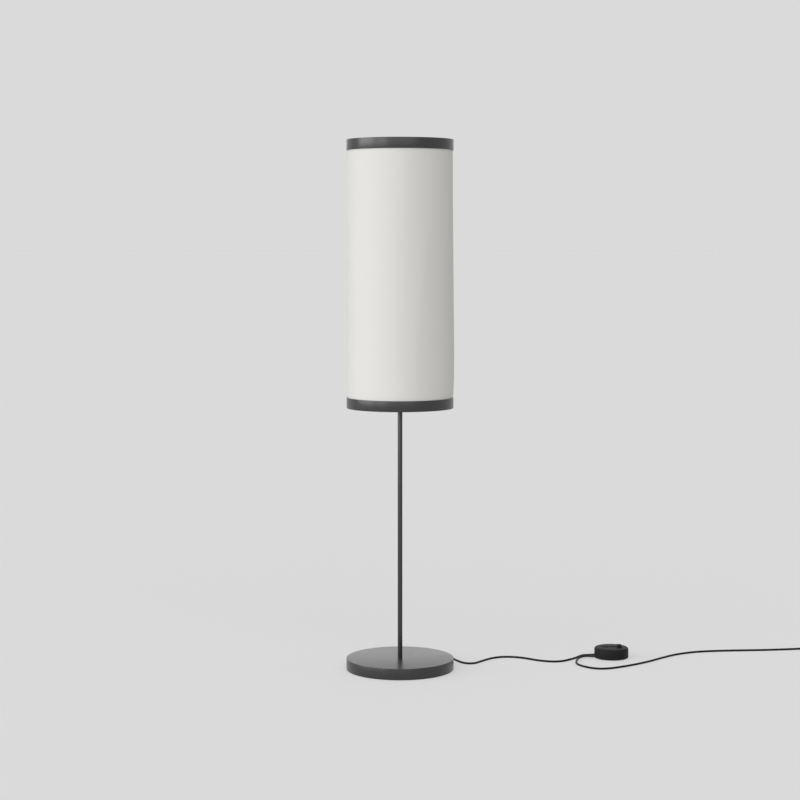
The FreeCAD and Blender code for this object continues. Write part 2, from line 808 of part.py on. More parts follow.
def make_dimmer():
    """The round foot dimmer: two shells, a knob that slides in a slot, its track and board."""
    radius, wall = s.dimmer_dia / 2, s.dimmer_wall
    boss_out = radius - 10.0
    base = turned("dimmer_tray", [
        (0.0, s.dimmer_foot),
        (radius - 2.0, s.dimmer_foot),
        (radius, s.dimmer_foot + 2.0),
        (radius, s.dimmer_split),
        (radius - wall, s.dimmer_split),
        (radius - wall, s.dimmer_foot + wall),
        (0.0, s.dimmer_foot + wall),
    ])
    at_dimmer(base)
    bosses, bores, sinks, screws = [], [], [], []
    for side in DIMMER_SCREWS:
        y = side * boss_out
        tag = side + 1
        boss = cylinder(f"boss_{tag}", wall * 3.5, s.dimmer_split + 0.4)
        bosses.append(at_dimmer(boss, y=y, z=s.dimmer_foot + 1.0))
        bores.append(at_dimmer(cylinder(f"boss_bore_{tag}", s.pin_dia - 0.8, 12.0), y=y, z=0.5))
        sinks.append(at_dimmer(cylinder(f"boss_sink_{tag}", s.pin_dia + 2.0, 2.5), y=y, z=0.4))
        screw = turned(f"dimmer_screw_{tag}", [
            (0.0, 1.4),
            (2.8, 1.4),
            (2.8, 2.8),
            (1.5, 2.8),
            (1.5, 20.0),
            (0.0, 20.0),
        ])
        screws.append(at_dimmer(screw, y=y))
    entries = []
    for side in (-1, 1):
        entry = cylinder(f"entry_{side + 1}", s.lead_dia + 2.0, 30.0, axis=Y_AXIS, angle=90.0,
                         x=s.dimmer_across - radius - 5.0,
                         y=s.dimmer_back + side * s.entry_apart / 2, z=s.entry_height)
        entries.append(entry)
    body = fuse("tray_body", base, *bosses)
    node(cut("dimmer_base", body, *bores, *sinks, *entries), "dimmer_base")
    group("dimmer_screws", screws)
    make_dimmer_cover(radius, boss_out)
    make_dimmer_works(radius, boss_out)
    make_dimmer_reliefs(radius)


def make_dimmer_cover(radius, boss_out):
    """The domed upper shell, with a sunk track round the slot that the knob slides in."""
    wall, top = s.dimmer_wall, s.dimmer_height
    cover = turned("dimmer_dome", [
        (radius - wall, s.dimmer_split),
        (radius, s.dimmer_split),
        (radius, top),
        (0.0, top),
        (0.0, top - wall - 0.6),
        (radius - wall - 2.0, top - wall - 0.6),
        (radius - wall, top - wall - 2.6),
    ])
    round_rims(cover, [(radius, top)], s.dimmer_round)
    at_dimmer(cover)
    sink = box("track_sink_box", s.slot_long + s.knob_long, s.knob_wide + 2.0, 4.0,
               x=s.dimmer_across, y=s.dimmer_back, z=top - s.track_sink)
    slot = box("slot_box", s.slot_long, s.slot_wide, 12.0,
               x=s.dimmer_across, y=s.dimmer_back, z=top - 8.0)
    bosses, bores = [], []
    for side in DIMMER_SCREWS:
        y = side * boss_out
        tag = side + 1
        boss = cylinder(f"cover_boss_{tag}", wall * 3.5, top - 14.0)
        bosses.append(at_dimmer(boss, y=y, z=13.0))
        bores.append(at_dimmer(cylinder(f"cover_bore_{tag}", s.pin_dia - 0.9, 8.5), y=y, z=12.0))
    body = fuse("cover_body", cover, *bosses)
    node(cut("dimmer_cover", body, sink, slot, *bores), "dimmer_cover")


def make_dimmer_works(radius, boss_out):
    """The board, the slide control on it, the knob and the rubber feet."""
    board_low = s.dimmer_split + 2.4
    board = at_dimmer(cylinder("board_disc", s.dimmer_dia - 8.0, 1.6), z=board_low)
    holes = []
    for side in DIMMER_SCREWS:
        hole = cylinder(f"board_hole_{side + 1}", s.pin_dia - 0.8, 4.0)
        holes.append(at_dimmer(hole, y=side * boss_out, z=board_low - 1.0))
    node(cut("dimmer_board", board, *holes), "dimmer_board")
    track = box("track_box", s.slot_long + 10.0, s.slot_wide * 3, 7.4,
                x=s.dimmer_across, y=s.dimmer_back, z=board_low + 1.6)
    groove = box("track_groove", s.slot_long, s.slot_wide, 6.0,
                 x=s.dimmer_across, y=s.dimmer_back, z=board_low + 4.0)
    node(cut("dimmer_track", track, groove), "dimmer_track")
    at_x = s.dimmer_across + s.knob_out
    cap_low = s.dimmer_height - s.track_sink + 0.4
    cap = box("knob_cap", s.knob_long, s.knob_wide, s.knob_top - cap_low,
              x=at_x, y=s.dimmer_back, z=cap_low)
    stalk = box("knob_stalk", s.slot_wide - 0.6, s.slot_wide - 0.8, cap_low - 16.0 + 1.0,
                x=at_x, y=s.dimmer_back, z=16.0)
    doc.recompute()
    rounded = doc.addObject("Part::Fillet", "knob_rounded")
    rounded.Base = cap
    upper = [(i, 1.6, 1.6) for i, edge in enumerate(cap.Shape.Edges, start=1)
             if edge.BoundBox.ZMax > value_of(s.knob_top) - 0.01]
    rounded.Edges = upper
    hollow = cylinder("knob_hollow", s.knob_wide * 3, s.knob_long + 2.0, axis=Y_AXIS, angle=90.0,
                      x=at_x - s.knob_long / 2 - 1.0, y=s.dimmer_back,
                      z=s.knob_top + s.knob_wide * 3 / 2 - 1.1)
    node(fuse("dimmer_knob", cut("knob_body", rounded, hollow), stalk), "dimmer_knob")
    feet = []
    for angle in (45, 135, 225, 315):
        x, y = polar(radius - 8.0, angle)
        feet.append(at_dimmer(cylinder(f"foot_{angle}", s.lead_dia * 1.6, s.dimmer_foot), x=x, y=y))
    group("dimmer_feet", feet)


def make_dimmer_reliefs(radius):
    """The two sleeves moulded on the leads where they enter the dimmer."""
    sleeves = []
    for side in (-1, 1):
        half = s.entry_apart / 2
        tip = s.entry_reach
        sleeve = turned(f"dimmer_relief_{side + 1}", [
            (0.0, -6.0),
            (s.lead_dia / 2 + 0.9, -6.0),
            (s.lead_dia / 2 + 0.9, 0.6),
            (s.lead_dia / 2 + 0.5, tip),
            (0.0, tip),
        ])
        sleeves.append(place(sleeve, x=s.dimmer_across - radius + 0.4,
                             y=s.dimmer_back + side * half, z=s.entry_height, axis=Y_AXIS, angle=-90.0))
    group("dimmer_reliefs", sleeves)


# ---------------------------------------------------------------- leads

# The lamp's lead, over the floor from the base's sleeve to the dimmer. The photograph shows
# it from behind the base on.
LAMP_ROUTE = [
    (39.34, 146.82, 7.5), (42.97, 160.37, 7.5), (49, 173.5, 4.6), (60.5, 182, 2.5), (76, 184, 2.5),
    (91, 177.5, 2.5), (102.5, 163, 2.5), (111, 144, 2.5), (118, 124, 2.5), (126, 103, 2.5),
    (134.5, 81, 2.5),
    (143.7, 62.2, 2.5), (152.1, 51, 2.5), (158.7, 46.9, 2.5), (166.3, 45.5, 2.5), (173.9, 47, 2.5),
    (180.5, 51.2, 2.5), (189.3, 63.3, 2.5), (204, 84.5, 2.5), (220, 104, 2.5), (241, 117.5, 2.5),
    (262, 120, 2.5), (283, 114.5, 2.5), (304, 102, 2.5), (324, 83.5, 2.5), (345, 71, 2.5),
    (368, 65, 2.5), (389, 71, 2.5), (405, 87, 2.5), (420, 104, 2.5), (429, 115.5, 3.2),
    (437, 123.5, 4.4), (446, 128, 5.2), (457.4, 128, 5.2),
]

# The mains lead, from the dimmer round its front and out to the put-away coil.
MAINS_ROUTE = [
    (457.4, 116, 5.2), (448.4, 116, 5.2), (439.5, 112.8, 4.8), (432.4, 106.4, 3.8), (426.4, 96, 2.8),
    (421.5, 72, 2.5), (418.5, 49, 2.5), (423.5, 28, 2.5), (437, 7.5, 2.5), (455, -8, 2.5),
    (474, -13, 2.5), (496, -7, 2.5), (522, 9, 2.5), (553, 31, 2.5), (593, 66, 2.5),
    (630, 108, 2.5), (672, 150, 2.5), (726, 179, 2.5), (786, 189, 2.5), (843, 194, 2.5),
    (895, 197.5, 2.5), (945, 205, 2.5), (983, 211.5, 2.7), (1012, 215.5, 3.4), (1036, 215.5, 3.4),
]


def rounded_path(points):
    """Straight runs joined by tangent arcs, each as large as its two runs allow."""
    places = [Vector(*p) for p in points]
    edges, radii = [], []
    last = places[0]
    for before, corner, after in zip(places, places[1:], places[2:]):
        back = (before - corner)
        ahead = (after - corner)
        shorter = min(back.Length, ahead.Length)
        back.normalize()
        ahead.normalize()
        turn = math.pi - back.getAngle(ahead)
        reach = 0.45 * shorter
        radius = reach / math.tan(turn / 2)
        start, end = corner + back * reach, corner + ahead * reach
        inward = back + ahead
        inward.normalize()
        middle = corner + inward * (radius / math.cos(turn / 2) - radius)
        edges.append(Part.LineSegment(last, start).toShape())
        edges.append(Part.Arc(start, middle, end).toShape())
        radii.append(radius)
        last = end
    edges.append(Part.LineSegment(last, places[-1]).toShape())
    return Part.Wire(edges), radii


def sweep(path, dia, start, heading):
    """A round solid of the given diameter along a path."""
    circle = Part.Wire(Part.Circle(start, heading, dia / 2).toShape())
    solid = path.makePipeShell([circle], True, False)
    area = math.pi * dia * dia / 4
    share = solid.Volume / (area * path.Length)
    print(f"  length {path.Length:.1f}, volume over section times length {share:.4f}")
    return solid


def make_lead(label, route, dia):
    """A lead along a route of points."""
    path, radii = rounded_path(route)
    print(label, "radii", " ".join(f"{r:.0f}" for r in radii))
    start = Vector(*route[0])
    solid = sweep(path, dia, start, Vector(*route[1]) - start)
    return solid


def make_coil():
    """The put-away length: half circles that spiral in, climb a layer, and spiral out."""
    lead = value_of(s.lead_dia)
    step = value_of(s.coil_step) / 2
    start = Vector(*MAINS_ROUTE[-1])
    first = start + X_AXIS * value_of(s.coil_end)
    edges = [Part.LineSegment(start, first).toShape()]
    radii = []
    radius = value_of(s.coil_start)
    spot, side = first, -1
    level = start.z
    inward, outward = LAYER_HALF_TURNS
    for turn in range(inward + 1 + outward):
        climb = value_of(s.coil_layer) if turn == inward else 0.0
        centre = spot + Y_AXIS * (side * radius)
        end = centre + Y_AXIS * (side * radius)
        end.z = level + climb
        middle = (spot + end) / 2
        reach = (end - spot).Length / 2
        edges.append(Part.Arc(spot, middle + X_AXIS * (-side * reach), end).toShape())
        radii.append(reach)
        level += climb
        spot, side = end, -side
        radius += -step if turn < inward else step
    finish = spot + X_AXIS * value_of(s.coil_end)
    if side == 1:
        raise RuntimeError("the coil ends on its near side")
    edges.append(Part.LineSegment(spot, finish).toShape())
    path = Part.Wire(edges)
    print("mains_coil radii", " ".join(f"{r:.1f}" for r in radii), "turns", len(radii) / 2)
    print("  least gap of the coil to itself", f"{least_gap(path, lead):.2f}")
    feature("mains_coil", sweep(path, lead, start, X_AXIS))
    return first, finish


def least_gap(path, dia):
    """The smallest gap between two stretches of a wound tube, measured on points."""
    spacing = 1.5
    points = path.discretize(Distance=spacing)
    skip = int(4 * dia / spacing)
    least = 1e9
    for i, point in enumerate(points):
        for other in points[i + skip:]:
            least = min(least, point.distanceToPoint(other))
    return least - dia


def make_leads():
    """Both leads over the floor, the coil, its tie, and the leads inside the lamp."""
    lead = value_of(s.lead_dia)
    feature("lamp_lead", make_lead("lamp_lead", LAMP_ROUTE, lead))
    feature("mains_lead", make_lead("mains_lead", MAINS_ROUTE, lead))
    first, finish = make_coil()
    make_tie(first)
    make_plug(finish)
    make_inner_leads()


def make_tie(first):
    """The band that holds the coil together: a flat loop round all its turns."""
    band_thick = 0.7
    span = s.coil_step * 2 + s.lead_dia + 4.4
    tall = s.coil_layer + s.lead_dia + 0.3
    low = s.coil_low - s.lead_dia / 2 - band_thick - 0.1
    outer = box("tie_outer", span + 2 * band_thick, 10.0, tall + 2 * band_thick)
    inner = box("tie_inner", span, 12.0, tall, z=band_thick)
    tie = cut("coil_tie", outer, inner)
    angle = -35.0
    middle = value_of(s.coil_start) - value_of(s.coil_step) + 0.3
    x, y = polar(middle, angle)
    centre_y = first.y - value_of(s.coil_start)
    place(tie, x=s.coil_across + x, y=centre_y + y, z=low, angle=angle)
    node(tie, "coil_tie")


def make_plug(finish):
    """The flat two-pin plug: a waisted moulding, its sleeve and two round pins along +X."""
    sleeve_long = value_of(s.plug_relief_long)
    lead = s.lead_dia / 2
    sleeve = turned("plug_relief", [
        (0.0, 0.0),
        (lead + 0.6, 0.0),
        (lead + 2.4, s.plug_relief_long),
        (0.0, s.plug_relief_long),
    ])
    place(sleeve, x=finish.x, y=finish.y, z=finish.z, axis=Y_AXIS, angle=90.0)
    node(sleeve, "plug_relief")
    half, long = s.plug_wide / 2, s.plug_long
    body = doc.addObject("PartDesign::Body", "plug_body")
    sketch = outline(body, "plug_outline", "XY_Plane", [
        (0.0, -half * 0.42),
        (long * 0.28, -half * 0.5),
        (long * 0.62, -half),
        (long, -half),
        (long, half),
        (long * 0.62, half),
        (long * 0.28, half * 0.5),
        (0.0, half * 0.42),
    ])
    pad = body.newObject("PartDesign::Pad", "plug_pad")
    pad.Profile = sketch
    pad.Midplane = True
    pad.setExpression("Length", s.plug_thick.text)
    sketch.Visibility = False
    doc.recompute()
    rounding = body.newObject("PartDesign::Fillet", "plug_round")
    names = [f"Edge{i}" for i, edge in enumerate(pad.Shape.Edges, start=1)
             if abs(edge.BoundBox.ZLength) < 0.01 and edge.BoundBox.XMin < value_of(long) - 0.01]
    rounding.Base = (pad, names)
    rounding.Radius = 2.6
    doc.recompute()
    place(body, x=finish.x + sleeve_long, y=finish.y, z=finish.z)
    node(body, "plug_body")
    pins = []
    for side in (-1, 1):
        pin = turned(f"pin_{side + 1}", [
            (0.0, 0.0),
            (s.pin_dia / 2, 0.0),
            (s.pin_dia / 2, s.pin_long - 1.0),
            (s.pin_dia / 2 - 1.0, s.pin_long),
            (0.0, s.pin_long),
        ])
        pins.append(place(pin, x=finish.x + sleeve_long + s.plug_long,
                          y=finish.y + side * s.pin_apart / 2, z=finish.z, axis=Y_AXIS, angle=90.0))
    group("plug_pins", pins)


def make_inner_leads():
    """The lead inside the base and stem, and the two thin leads to the lampholders."""
    lead, branch = value_of(s.lead_dia), value_of(s.branch_dia)
    height = value_of(s.exit_height)
    out_x, out_y = polar(value_of(s.base_dia / 2 + s.relief_reach), value_of(s.exit_angle))
    block_low = value_of(s.stem_joint) + 9.5
    bend = 7.0
    near_x, near_y = polar(bend, value_of(s.exit_angle))
    start, near = Vector(out_x, out_y, height), Vector(near_x, near_y, height)
    out = Vector(near_x, near_y, 0) / bend
    middle = out * (bend * (1 - math.sqrt(0.5)))
    middle.z = height + bend * (1 - math.sqrt(0.5))
    up, end = Vector(0, 0, height + bend), Vector(0, 0, block_low)
    path = Part.Wire([
        Part.LineSegment(start, near).toShape(),
        Part.Arc(near, middle, up).toShape(),
        Part.LineSegment(up, end).toShape(),
    ])
    print("inner_lead")
    feature("inner_lead", sweep(path, lead, start, near - start))
    level = value_of(s.stem_joint) + 14.0
    block = value_of(s.junction_dia) / 4
    out = value_of(s.bracket_out)
    lower_end = value_of(s.bracket_lower + s.bracket_thick) + 12.0
    upper_low = value_of(s.bracket_upper)
    upper_end = upper_low + value_of(s.bracket_thick) + 12.0
    lower = [(block, 0, level), (24, 0, level), (37, 0, level + 16), (out, 0, level + 34), (out, 0, lower_end)]
    upper = [(-block, 0, level), (-26, 0, level), (-26, 0, level + 20), (-12.8, 0, level + 42),
             (-12.8, 0, upper_low - 46), (-36, 0, upper_low - 30), (-out, 0, upper_low - 12),
             (-out, 0, upper_end)]
    wires = []
    for name, route in (("branch_lower", lower), ("branch_upper", upper)):
        item = doc.addObject("Part::Feature", name)
        item.Shape = make_lead(name, route, branch)
        wires.append(item)
    group("branch_leads", wires)


# ---------------------------------------------------------------- build, check and write


def check(items):
    """Stop if any object failed, or any sub-part is empty or not valid."""
    for item in doc.Objects:
        if "Invalid" in item.State or "Error" in item.State:
            raise RuntimeError(f"{item.Name} ({item.Label}) is {item.State}")
    for label, item in items.items():
        if item.Shape.isNull() or not item.Shape.isValid() or not item.Shape.Solids:
            raise RuntimeError(f"{label} has no valid solid")


def main():
    make_base()
    make_stem()
    make_light()
    make_shade()
    make_dimmer()
    make_leads()
    doc.recompute()
    check(nodes)
    os.makedirs("parts", exist_ok=True)
    for label, item in nodes.items():
        item.Shape.exportStep(f"parts/{label}.step")
        bounds = item.Shape.BoundBox
        print(f"{label:18s} solids {len(item.Shape.Solids)} volume {item.Shape.Volume:10.0f} "
              f"x {bounds.XMin:.1f} {bounds.XMax:.1f} y {bounds.YMin:.1f} {bounds.YMax:.1f} "
              f"z {bounds.ZMin:.1f} {bounds.ZMax:.1f}")
    print(len(nodes), "sub-parts")


main()
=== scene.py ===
"""Column floor lamp: the pieces one sees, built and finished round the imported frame.

Metres. The origin is at the centre of the base on the floor, +Z is up and the front is -Y.
"""

import json
import logging
import math
from collections.abc import Sequence
from dataclasses import dataclass, field
from enum import Enum

import bmesh
import bpy
from mathutils import Matrix, Vector


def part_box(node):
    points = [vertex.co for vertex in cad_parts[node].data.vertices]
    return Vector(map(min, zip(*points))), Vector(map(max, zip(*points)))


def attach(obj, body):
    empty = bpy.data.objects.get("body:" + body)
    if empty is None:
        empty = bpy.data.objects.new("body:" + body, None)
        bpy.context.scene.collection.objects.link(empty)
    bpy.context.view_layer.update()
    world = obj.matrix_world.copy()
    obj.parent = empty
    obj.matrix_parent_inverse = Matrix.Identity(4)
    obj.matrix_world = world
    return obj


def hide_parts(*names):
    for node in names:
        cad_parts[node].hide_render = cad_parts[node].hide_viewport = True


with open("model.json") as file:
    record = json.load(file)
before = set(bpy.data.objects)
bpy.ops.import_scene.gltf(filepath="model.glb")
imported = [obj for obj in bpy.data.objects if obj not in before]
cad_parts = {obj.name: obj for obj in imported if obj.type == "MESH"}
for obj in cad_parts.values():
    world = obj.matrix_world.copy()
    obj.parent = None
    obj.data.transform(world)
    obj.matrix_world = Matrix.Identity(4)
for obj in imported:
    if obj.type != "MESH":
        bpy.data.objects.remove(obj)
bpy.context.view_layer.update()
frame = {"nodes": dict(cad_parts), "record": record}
log = logging.getLogger("lamp")

Place = tuple[float, float, float]
Colour = tuple[float, float, float]
Profile = Sequence[tuple[float, float]]
Shape = bmesh.types.BMesh

MM = 0.001
TOUCH = 1e-6            # two places nearer than this are one


class Slot(Enum):
    """The material slots of the record."""

    PAINT = "painted_steel"
    IRON = "cast_iron"
    RUBBER = "rubber_black"
    ZINC = "zinc_steel"
    FABRIC = "shade_fabric"
    WHITE = "white_plastic"
    OPAL = "opal"
    BLACK = "black_plastic"
    BRASS = "brass"
    FLEX = "lead_pvc"
    BOARD = "board"
    NICKEL = "nickel"


class Body(Enum):
    """The bodies that the pieces ride on."""

    STAND = "stand"
    SHADE = "shade"
    FINIAL = "finial"
    LOWER = "bulb_lower"
    UPPER = "bulb_upper"
    SLIDER = "slider"


class Cut(Enum):
    """How two closed shapes are put together."""

    ADD = "UNION"
    TAKE = "DIFFERENCE"


# ---------------------------------------------------------------- shader maths


class Wire:
    """A socket of a shader node, whose arithmetic adds Math nodes to its board."""

    def __init__(self, board: "Board", socket: bpy.types.NodeSocket) -> None:
        """Keep the board and the socket."""
        self.board = board
        self.socket = socket

    def maths(self, operation: str, *values: "Wire | float") -> "Wire":
        """Return the result of a Math node on the values."""
        settings = {"operation": operation}
        return self.board.node("ShaderNodeMath", settings, dict(enumerate(values)))

    def __add__(self, other: "Wire | float") -> "Wire":
        """Return this and other added up."""
        return self.maths("ADD", self, other)

    __radd__ = __add__

    def __sub__(self, other: "Wire | float") -> "Wire":
        """Return this less other."""
        return self.maths("SUBTRACT", self, other)

    def __rsub__(self, other: float) -> "Wire":
        """Return other less this."""
        return self.maths("SUBTRACT", other, self)

    def __mul__(self, other: "Wire | float") -> "Wire":
        """Return this times other."""
        return self.maths("MULTIPLY", self, other)

    __rmul__ = __mul__

    def sine(self) -> "Wire":
        """Return the sine of this."""
        return self.maths("SINE", self)

    def larger(self, other: "Wire | float") -> "Wire":
        """Return the larger of this and other."""
        return self.maths("MAXIMUM", self, other)


class Board:
    """The node tree of one finish, or of the world."""

    def __init__(self, holder: bpy.types.Material | bpy.types.World) -> None:
        """Start with an empty tree.

        Args:
            holder: the material or world that the tree belongs to.
        """
        self.holder = holder
        holder.use_nodes = True
        self.tree = holder.node_tree
        self.tree.nodes.clear()

    def node(self, kind: str, settings: dict, inputs: dict, output: int | str = 0) -> Wire:
        """Add a node.

        Args:
            kind: the node's type.
            settings: its properties, set first; "stops" are a ramp's (place, colour) pairs.
            inputs: values or wires by the name or number of the socket.
            output: the socket that is returned.

        Returns:
            The wire from that socket.
        """
        item = self.tree.nodes.new(kind)
        for name, value in settings.items():
            if name == "stops":
                stops = item.color_ramp.elements
                for spot, _ in value[len(stops):]:
                    stops.new(spot)
                for stop, (spot, colour) in zip(stops, value):
                    stop.position, stop.color = spot, colour
            else:
                setattr(item, name, value)
        for key, value in inputs.items():
            if isinstance(value, Wire):
                self.tree.links.new(value.socket, item.inputs[key])
            else:
                item.inputs[key].default_value = value
        return Wire(self, item.outputs[output])

    def place(self, stretch: Place = (1.0, 1.0, 1.0)) -> Wire:
        """Return object coordinates, stretched along the three axes."""
        spot = self.node("ShaderNodeTexCoord", {}, {}, "Object")
        return self.node("ShaderNodeMapping", {}, {"Vector": spot, "Scale": stretch})

    def noise(self, spot: Wire, scale: float, detail: float = 3.0) -> Wire:
        """Return noise of a scale per metre at the spot."""
        values = {"Vector": spot, "Scale": scale, "Detail": detail}
        return self.node("ShaderNodeTexNoise", {}, values)

    def tint(self, mask: Wire, first: Colour, second: Colour) -> Wire:
        """Return the colour that goes from first to second as the mask goes from 0 to 1."""
        values = {0: mask, 6: (*first, 1.0), 7: (*second, 1.0)}
        return self.node("ShaderNodeMix", {"data_type": "RGBA"}, values, 2)

    def bump(self, height: Wire, depth: float, strength: float = 1.0) -> Wire:
        """Return the normal of a surface with this height, 0 to 1, times a depth in metres."""
        values = {"Height": height, "Distance": depth, "Strength": strength}
        return self.node("ShaderNodeBump", {}, values)

    def finish(self, values: dict) -> bpy.types.Material:
        """Close the tree with a Principled shader of these values and return the material."""
        shader = self.node("ShaderNodeBsdfPrincipled", {}, values)
        self.close(shader)
        return self.holder

    def close(self, shader: Wire, kind: str = "ShaderNodeOutputMaterial") -> None:
        """Join a shader to the tree's output, which is of a kind."""
        end = self.tree.nodes.new(kind)
        self.tree.links.new(shader.socket, end.inputs["Surface"])


def shaded(colour: Colour, share: float) -> Colour:
    """Return a colour made lighter or darker by a share of itself."""
    return tuple(part * (1.0 + share) for part in colour)


# ---------------------------------------------------------------- finishes


@dataclass(frozen=True)
class Coating:
    """A plain surface with a fine grain: paint, plastic, rubber, cast or plated metal."""

    colour: Colour
    roughness: float
    metallic: float = 0.0
    grain: float = 900.0                        # grains in a metre
    depth: float = 0.00002                      # metres, height of the grain
    mottle: float = 0.05                        # share that the colour varies by
    uneven: float = 0.04                        # how much the roughness varies
    stretch: Place = (1.0, 1.0, 1.0)            # the grain's lie
    cloud: float = 0.65                         # share of the mottle in clouds, not grain
    cloud_size: float = 45.0                    # grains across a cloud
    fixed: dict = field(default_factory=dict)   # further values of the shader

    def make(self, name: str) -> bpy.types.Material:
        """Return the material.

        Args:
            name: what the material is called.

        Returns:
            The finished material.
        """
        board = Board(bpy.data.materials.new(name))
        spot = board.place(self.stretch)
        grain = board.noise(spot, self.grain)
        cloud = board.noise(spot, self.grain / self.cloud_size, 5.0)
        mask = grain * (1.0 - self.cloud) + cloud * self.cloud
        dark, light = (shaded(self.colour, share) for share in (-self.mottle, self.mottle))
        return board.finish({
            "Base Color": board.tint(mask, dark, light),
            "Roughness": self.roughness + (cloud - 0.5) * (2.0 * self.uneven),
            "Metallic": self.metallic,
            "Normal": board.bump(grain, self.depth),
            **self.fixed,
        })


@dataclass(frozen=True)
class Weave:
    """Plain woven cloth with slightly uneven threads, laid out by the piece's own UV map."""

    colour: Colour
    width: float = 0.779        # metres of cloth across the UV map
    height: float = 0.623
    pitch: float = 0.00085      # from thread to thread
    depth: float = 0.00012
    sway: float = 0.9           # how far a thread wanders, in radians of its wave
    upright: Place = (1400.0, 26.0, 1.0)    # slubs of the upright threads, across and up a metre
    level: Place = (22.0, 1300.0, 1.0)      # and of the level ones

    def make(self, name: str) -> bpy.types.Material:
        """Return the material.

        Args:
            name: what the material is called.

        Returns:
            The finished material.
        """
        board = Board(bpy.data.materials.new(name))
        flat = board.node("ShaderNodeTexCoord", {}, {}, "UV")
        size = (self.width, self.height, 1.0)
        flat = board.node("ShaderNodeMapping", {}, {"Vector": flat, "Scale": size})
        across = board.node("ShaderNodeSeparateXYZ", {}, {"Vector": flat}, 0)
        up = board.node("ShaderNodeSeparateXYZ", {}, {"Vector": flat}, 1)
        turn = math.pi / self.pitch
        sway = board.noise(flat, 60.0, 2.0) * self.sway
        warp, weft = (across * turn + sway).sine(), (up * turn + sway).sine()
        upright, level = (
            board.noise(board.node("ShaderNodeMapping", {}, {"Vector": flat, "Scale": slubs}),
                        1.0, 2.0) for slubs in (self.upright, self.level))
        threads = (warp * warp).larger(weft * weft) * 0.48 + (upright + level) * 0.35
        cloud = board.noise(flat, 9.0, 4.0)
        mask = threads * 0.75 + cloud * 0.25
        return board.finish({
            "Base Color": board.tint(mask, shaded(self.colour, -0.07), shaded(self.colour, 0.05)),
            "Roughness": 0.82 + threads * 0.12,
            "Normal": board.bump(threads, self.depth, 0.5),
            "Specular IOR Level": 0.25,
            "Sheen Weight": 0.08,
        })


FINISHES = {
    Slot.PAINT: Coating((0.018, 0.0183, 0.0198), 0.28, grain=800.0, depth=0.000012,
                        fixed={"Specular IOR Level": 0.65}),
    Slot.IRON: Coating((0.10, 0.10, 0.105), 0.72, metallic=0.4, grain=500.0, depth=0.00012),
    Slot.RUBBER: Coating((0.020, 0.020, 0.022), 0.62, grain=1500.0, depth=0.00003),
    Slot.ZINC: Coating((0.56, 0.57, 0.59), 0.34, metallic=1.0, grain=600.0, depth=0.00001,
                       mottle=0.08, uneven=0.08, stretch=(1.0, 1.0, 0.08)),
    Slot.FABRIC: Weave((0.812, 0.803, 0.776)),
    Slot.WHITE: Coating((0.80, 0.80, 0.775), 0.38, grain=1600.0, depth=0.00001, mottle=0.02),
    Slot.OPAL: Coating((0.90, 0.90, 0.875), 0.22, grain=300.0, depth=0.000002, mottle=0.015,
                       fixed={"Subsurface Weight": 0.25, "Subsurface Scale": 0.01}),
    Slot.BLACK: Coating((0.009, 0.009, 0.010), 0.60, grain=2200.0, depth=0.00003, mottle=0.10,
                        fixed={"Specular IOR Level": 0.20}),
    Slot.BRASS: Coating((0.72, 0.55, 0.28), 0.30, metallic=1.0, grain=900.0, depth=0.00001),
    Slot.FLEX: Coating((0.006, 0.006, 0.0065), 0.42, grain=700.0, depth=0.00002, mottle=0.10,
                       fixed={"Specular IOR Level": 0.15}),
    Slot.BOARD: Coating((0.03, 0.16, 0.07), 0.35, grain=1400.0, depth=0.00003, mottle=0.15),
    Slot.NICKEL: Coating((0.68, 0.66, 0.62), 0.22, metallic=1.0, grain=900.0, depth=0.000006,
                         uneven=0.06),
}


# ---------------------------------------------------------------- mesh work


def tidy(shape: Shape) -> Shape:
    """Return the shape with its doubles merged and its faces turned outwards."""
    bmesh.ops.remove_doubles(shape, verts=shape.verts[:], dist=1e-7)
    bmesh.ops.recalc_face_normals(shape, faces=shape.faces[:])
    return shape


def bevel(shape: Shape, edges: list, size: float, segments: int = 4) -> None:
    """Round edges of a shape by a size in metres."""
    bmesh.ops.bevel(shape, geom=edges, offset=size, segments=segments, profile=0.5,
                    affect="EDGES", material=-1)


def lathe(profile: Profile, rounds: dict[int, float] | None = None, steps: int = 96,
          solid: bool = False) -> Shape:
    """Spin a profile about Z.

    Args:
        profile: (radius, height) corners; the last is joined to the first.
        rounds: the radius that a corner is rounded by, by the corner's number.
        steps: flats in a turn.
        solid: whether the profile starts and ends on the axis, so it isn't joined up.

    Returns:
        The turned shape.
    """
    shape = bmesh.new()
    points = [shape.verts.new((radius, 0.0, height)) for radius, height in profile]
    runs = [shape.edges.new(pair) for pair in zip(points, points[1:])]
    if not solid:
        runs.append(shape.edges.new((points[-1], points[0])))
    bmesh.ops.spin(shape, geom=points + runs, cent=(0, 0, 0), axis=(0, 0, 1),
                   angle=math.tau, steps=steps, use_merge=True)
    tidy(shape)
    for index, size in (rounds or {}).items():
        radius, height = profile[index]
        rim = [edge for edge in shape.edges if all(
            abs(math.hypot(vert.co.x, vert.co.y) - radius) < TOUCH
            and abs(vert.co.z - height) < TOUCH for vert in edge.verts)]
        bevel(shape, rim, size)
    return tidy(shape)


def block(size: Place, round_by: float = 0.0, segments: int = 3) -> Shape:
    """Return a box of a size about the origin, with its edges rounded."""
    shape = bmesh.new()
    bmesh.ops.create_cube(shape, size=1.0)
    bmesh.ops.scale(shape, vec=size, verts=shape.verts[:])
    if round_by:
        bevel(shape, shape.edges[:], round_by, segments)
    return tidy(shape)


def rod(radius: float, low: float, high: float, steps: int = 32) -> Shape:
    """Return a plain round bar along Z, for cutting with."""
    profile = [(0.0, low), (radius, low), (radius, high), (0.0, high)]
    return lathe(profile, steps=steps, solid=True)


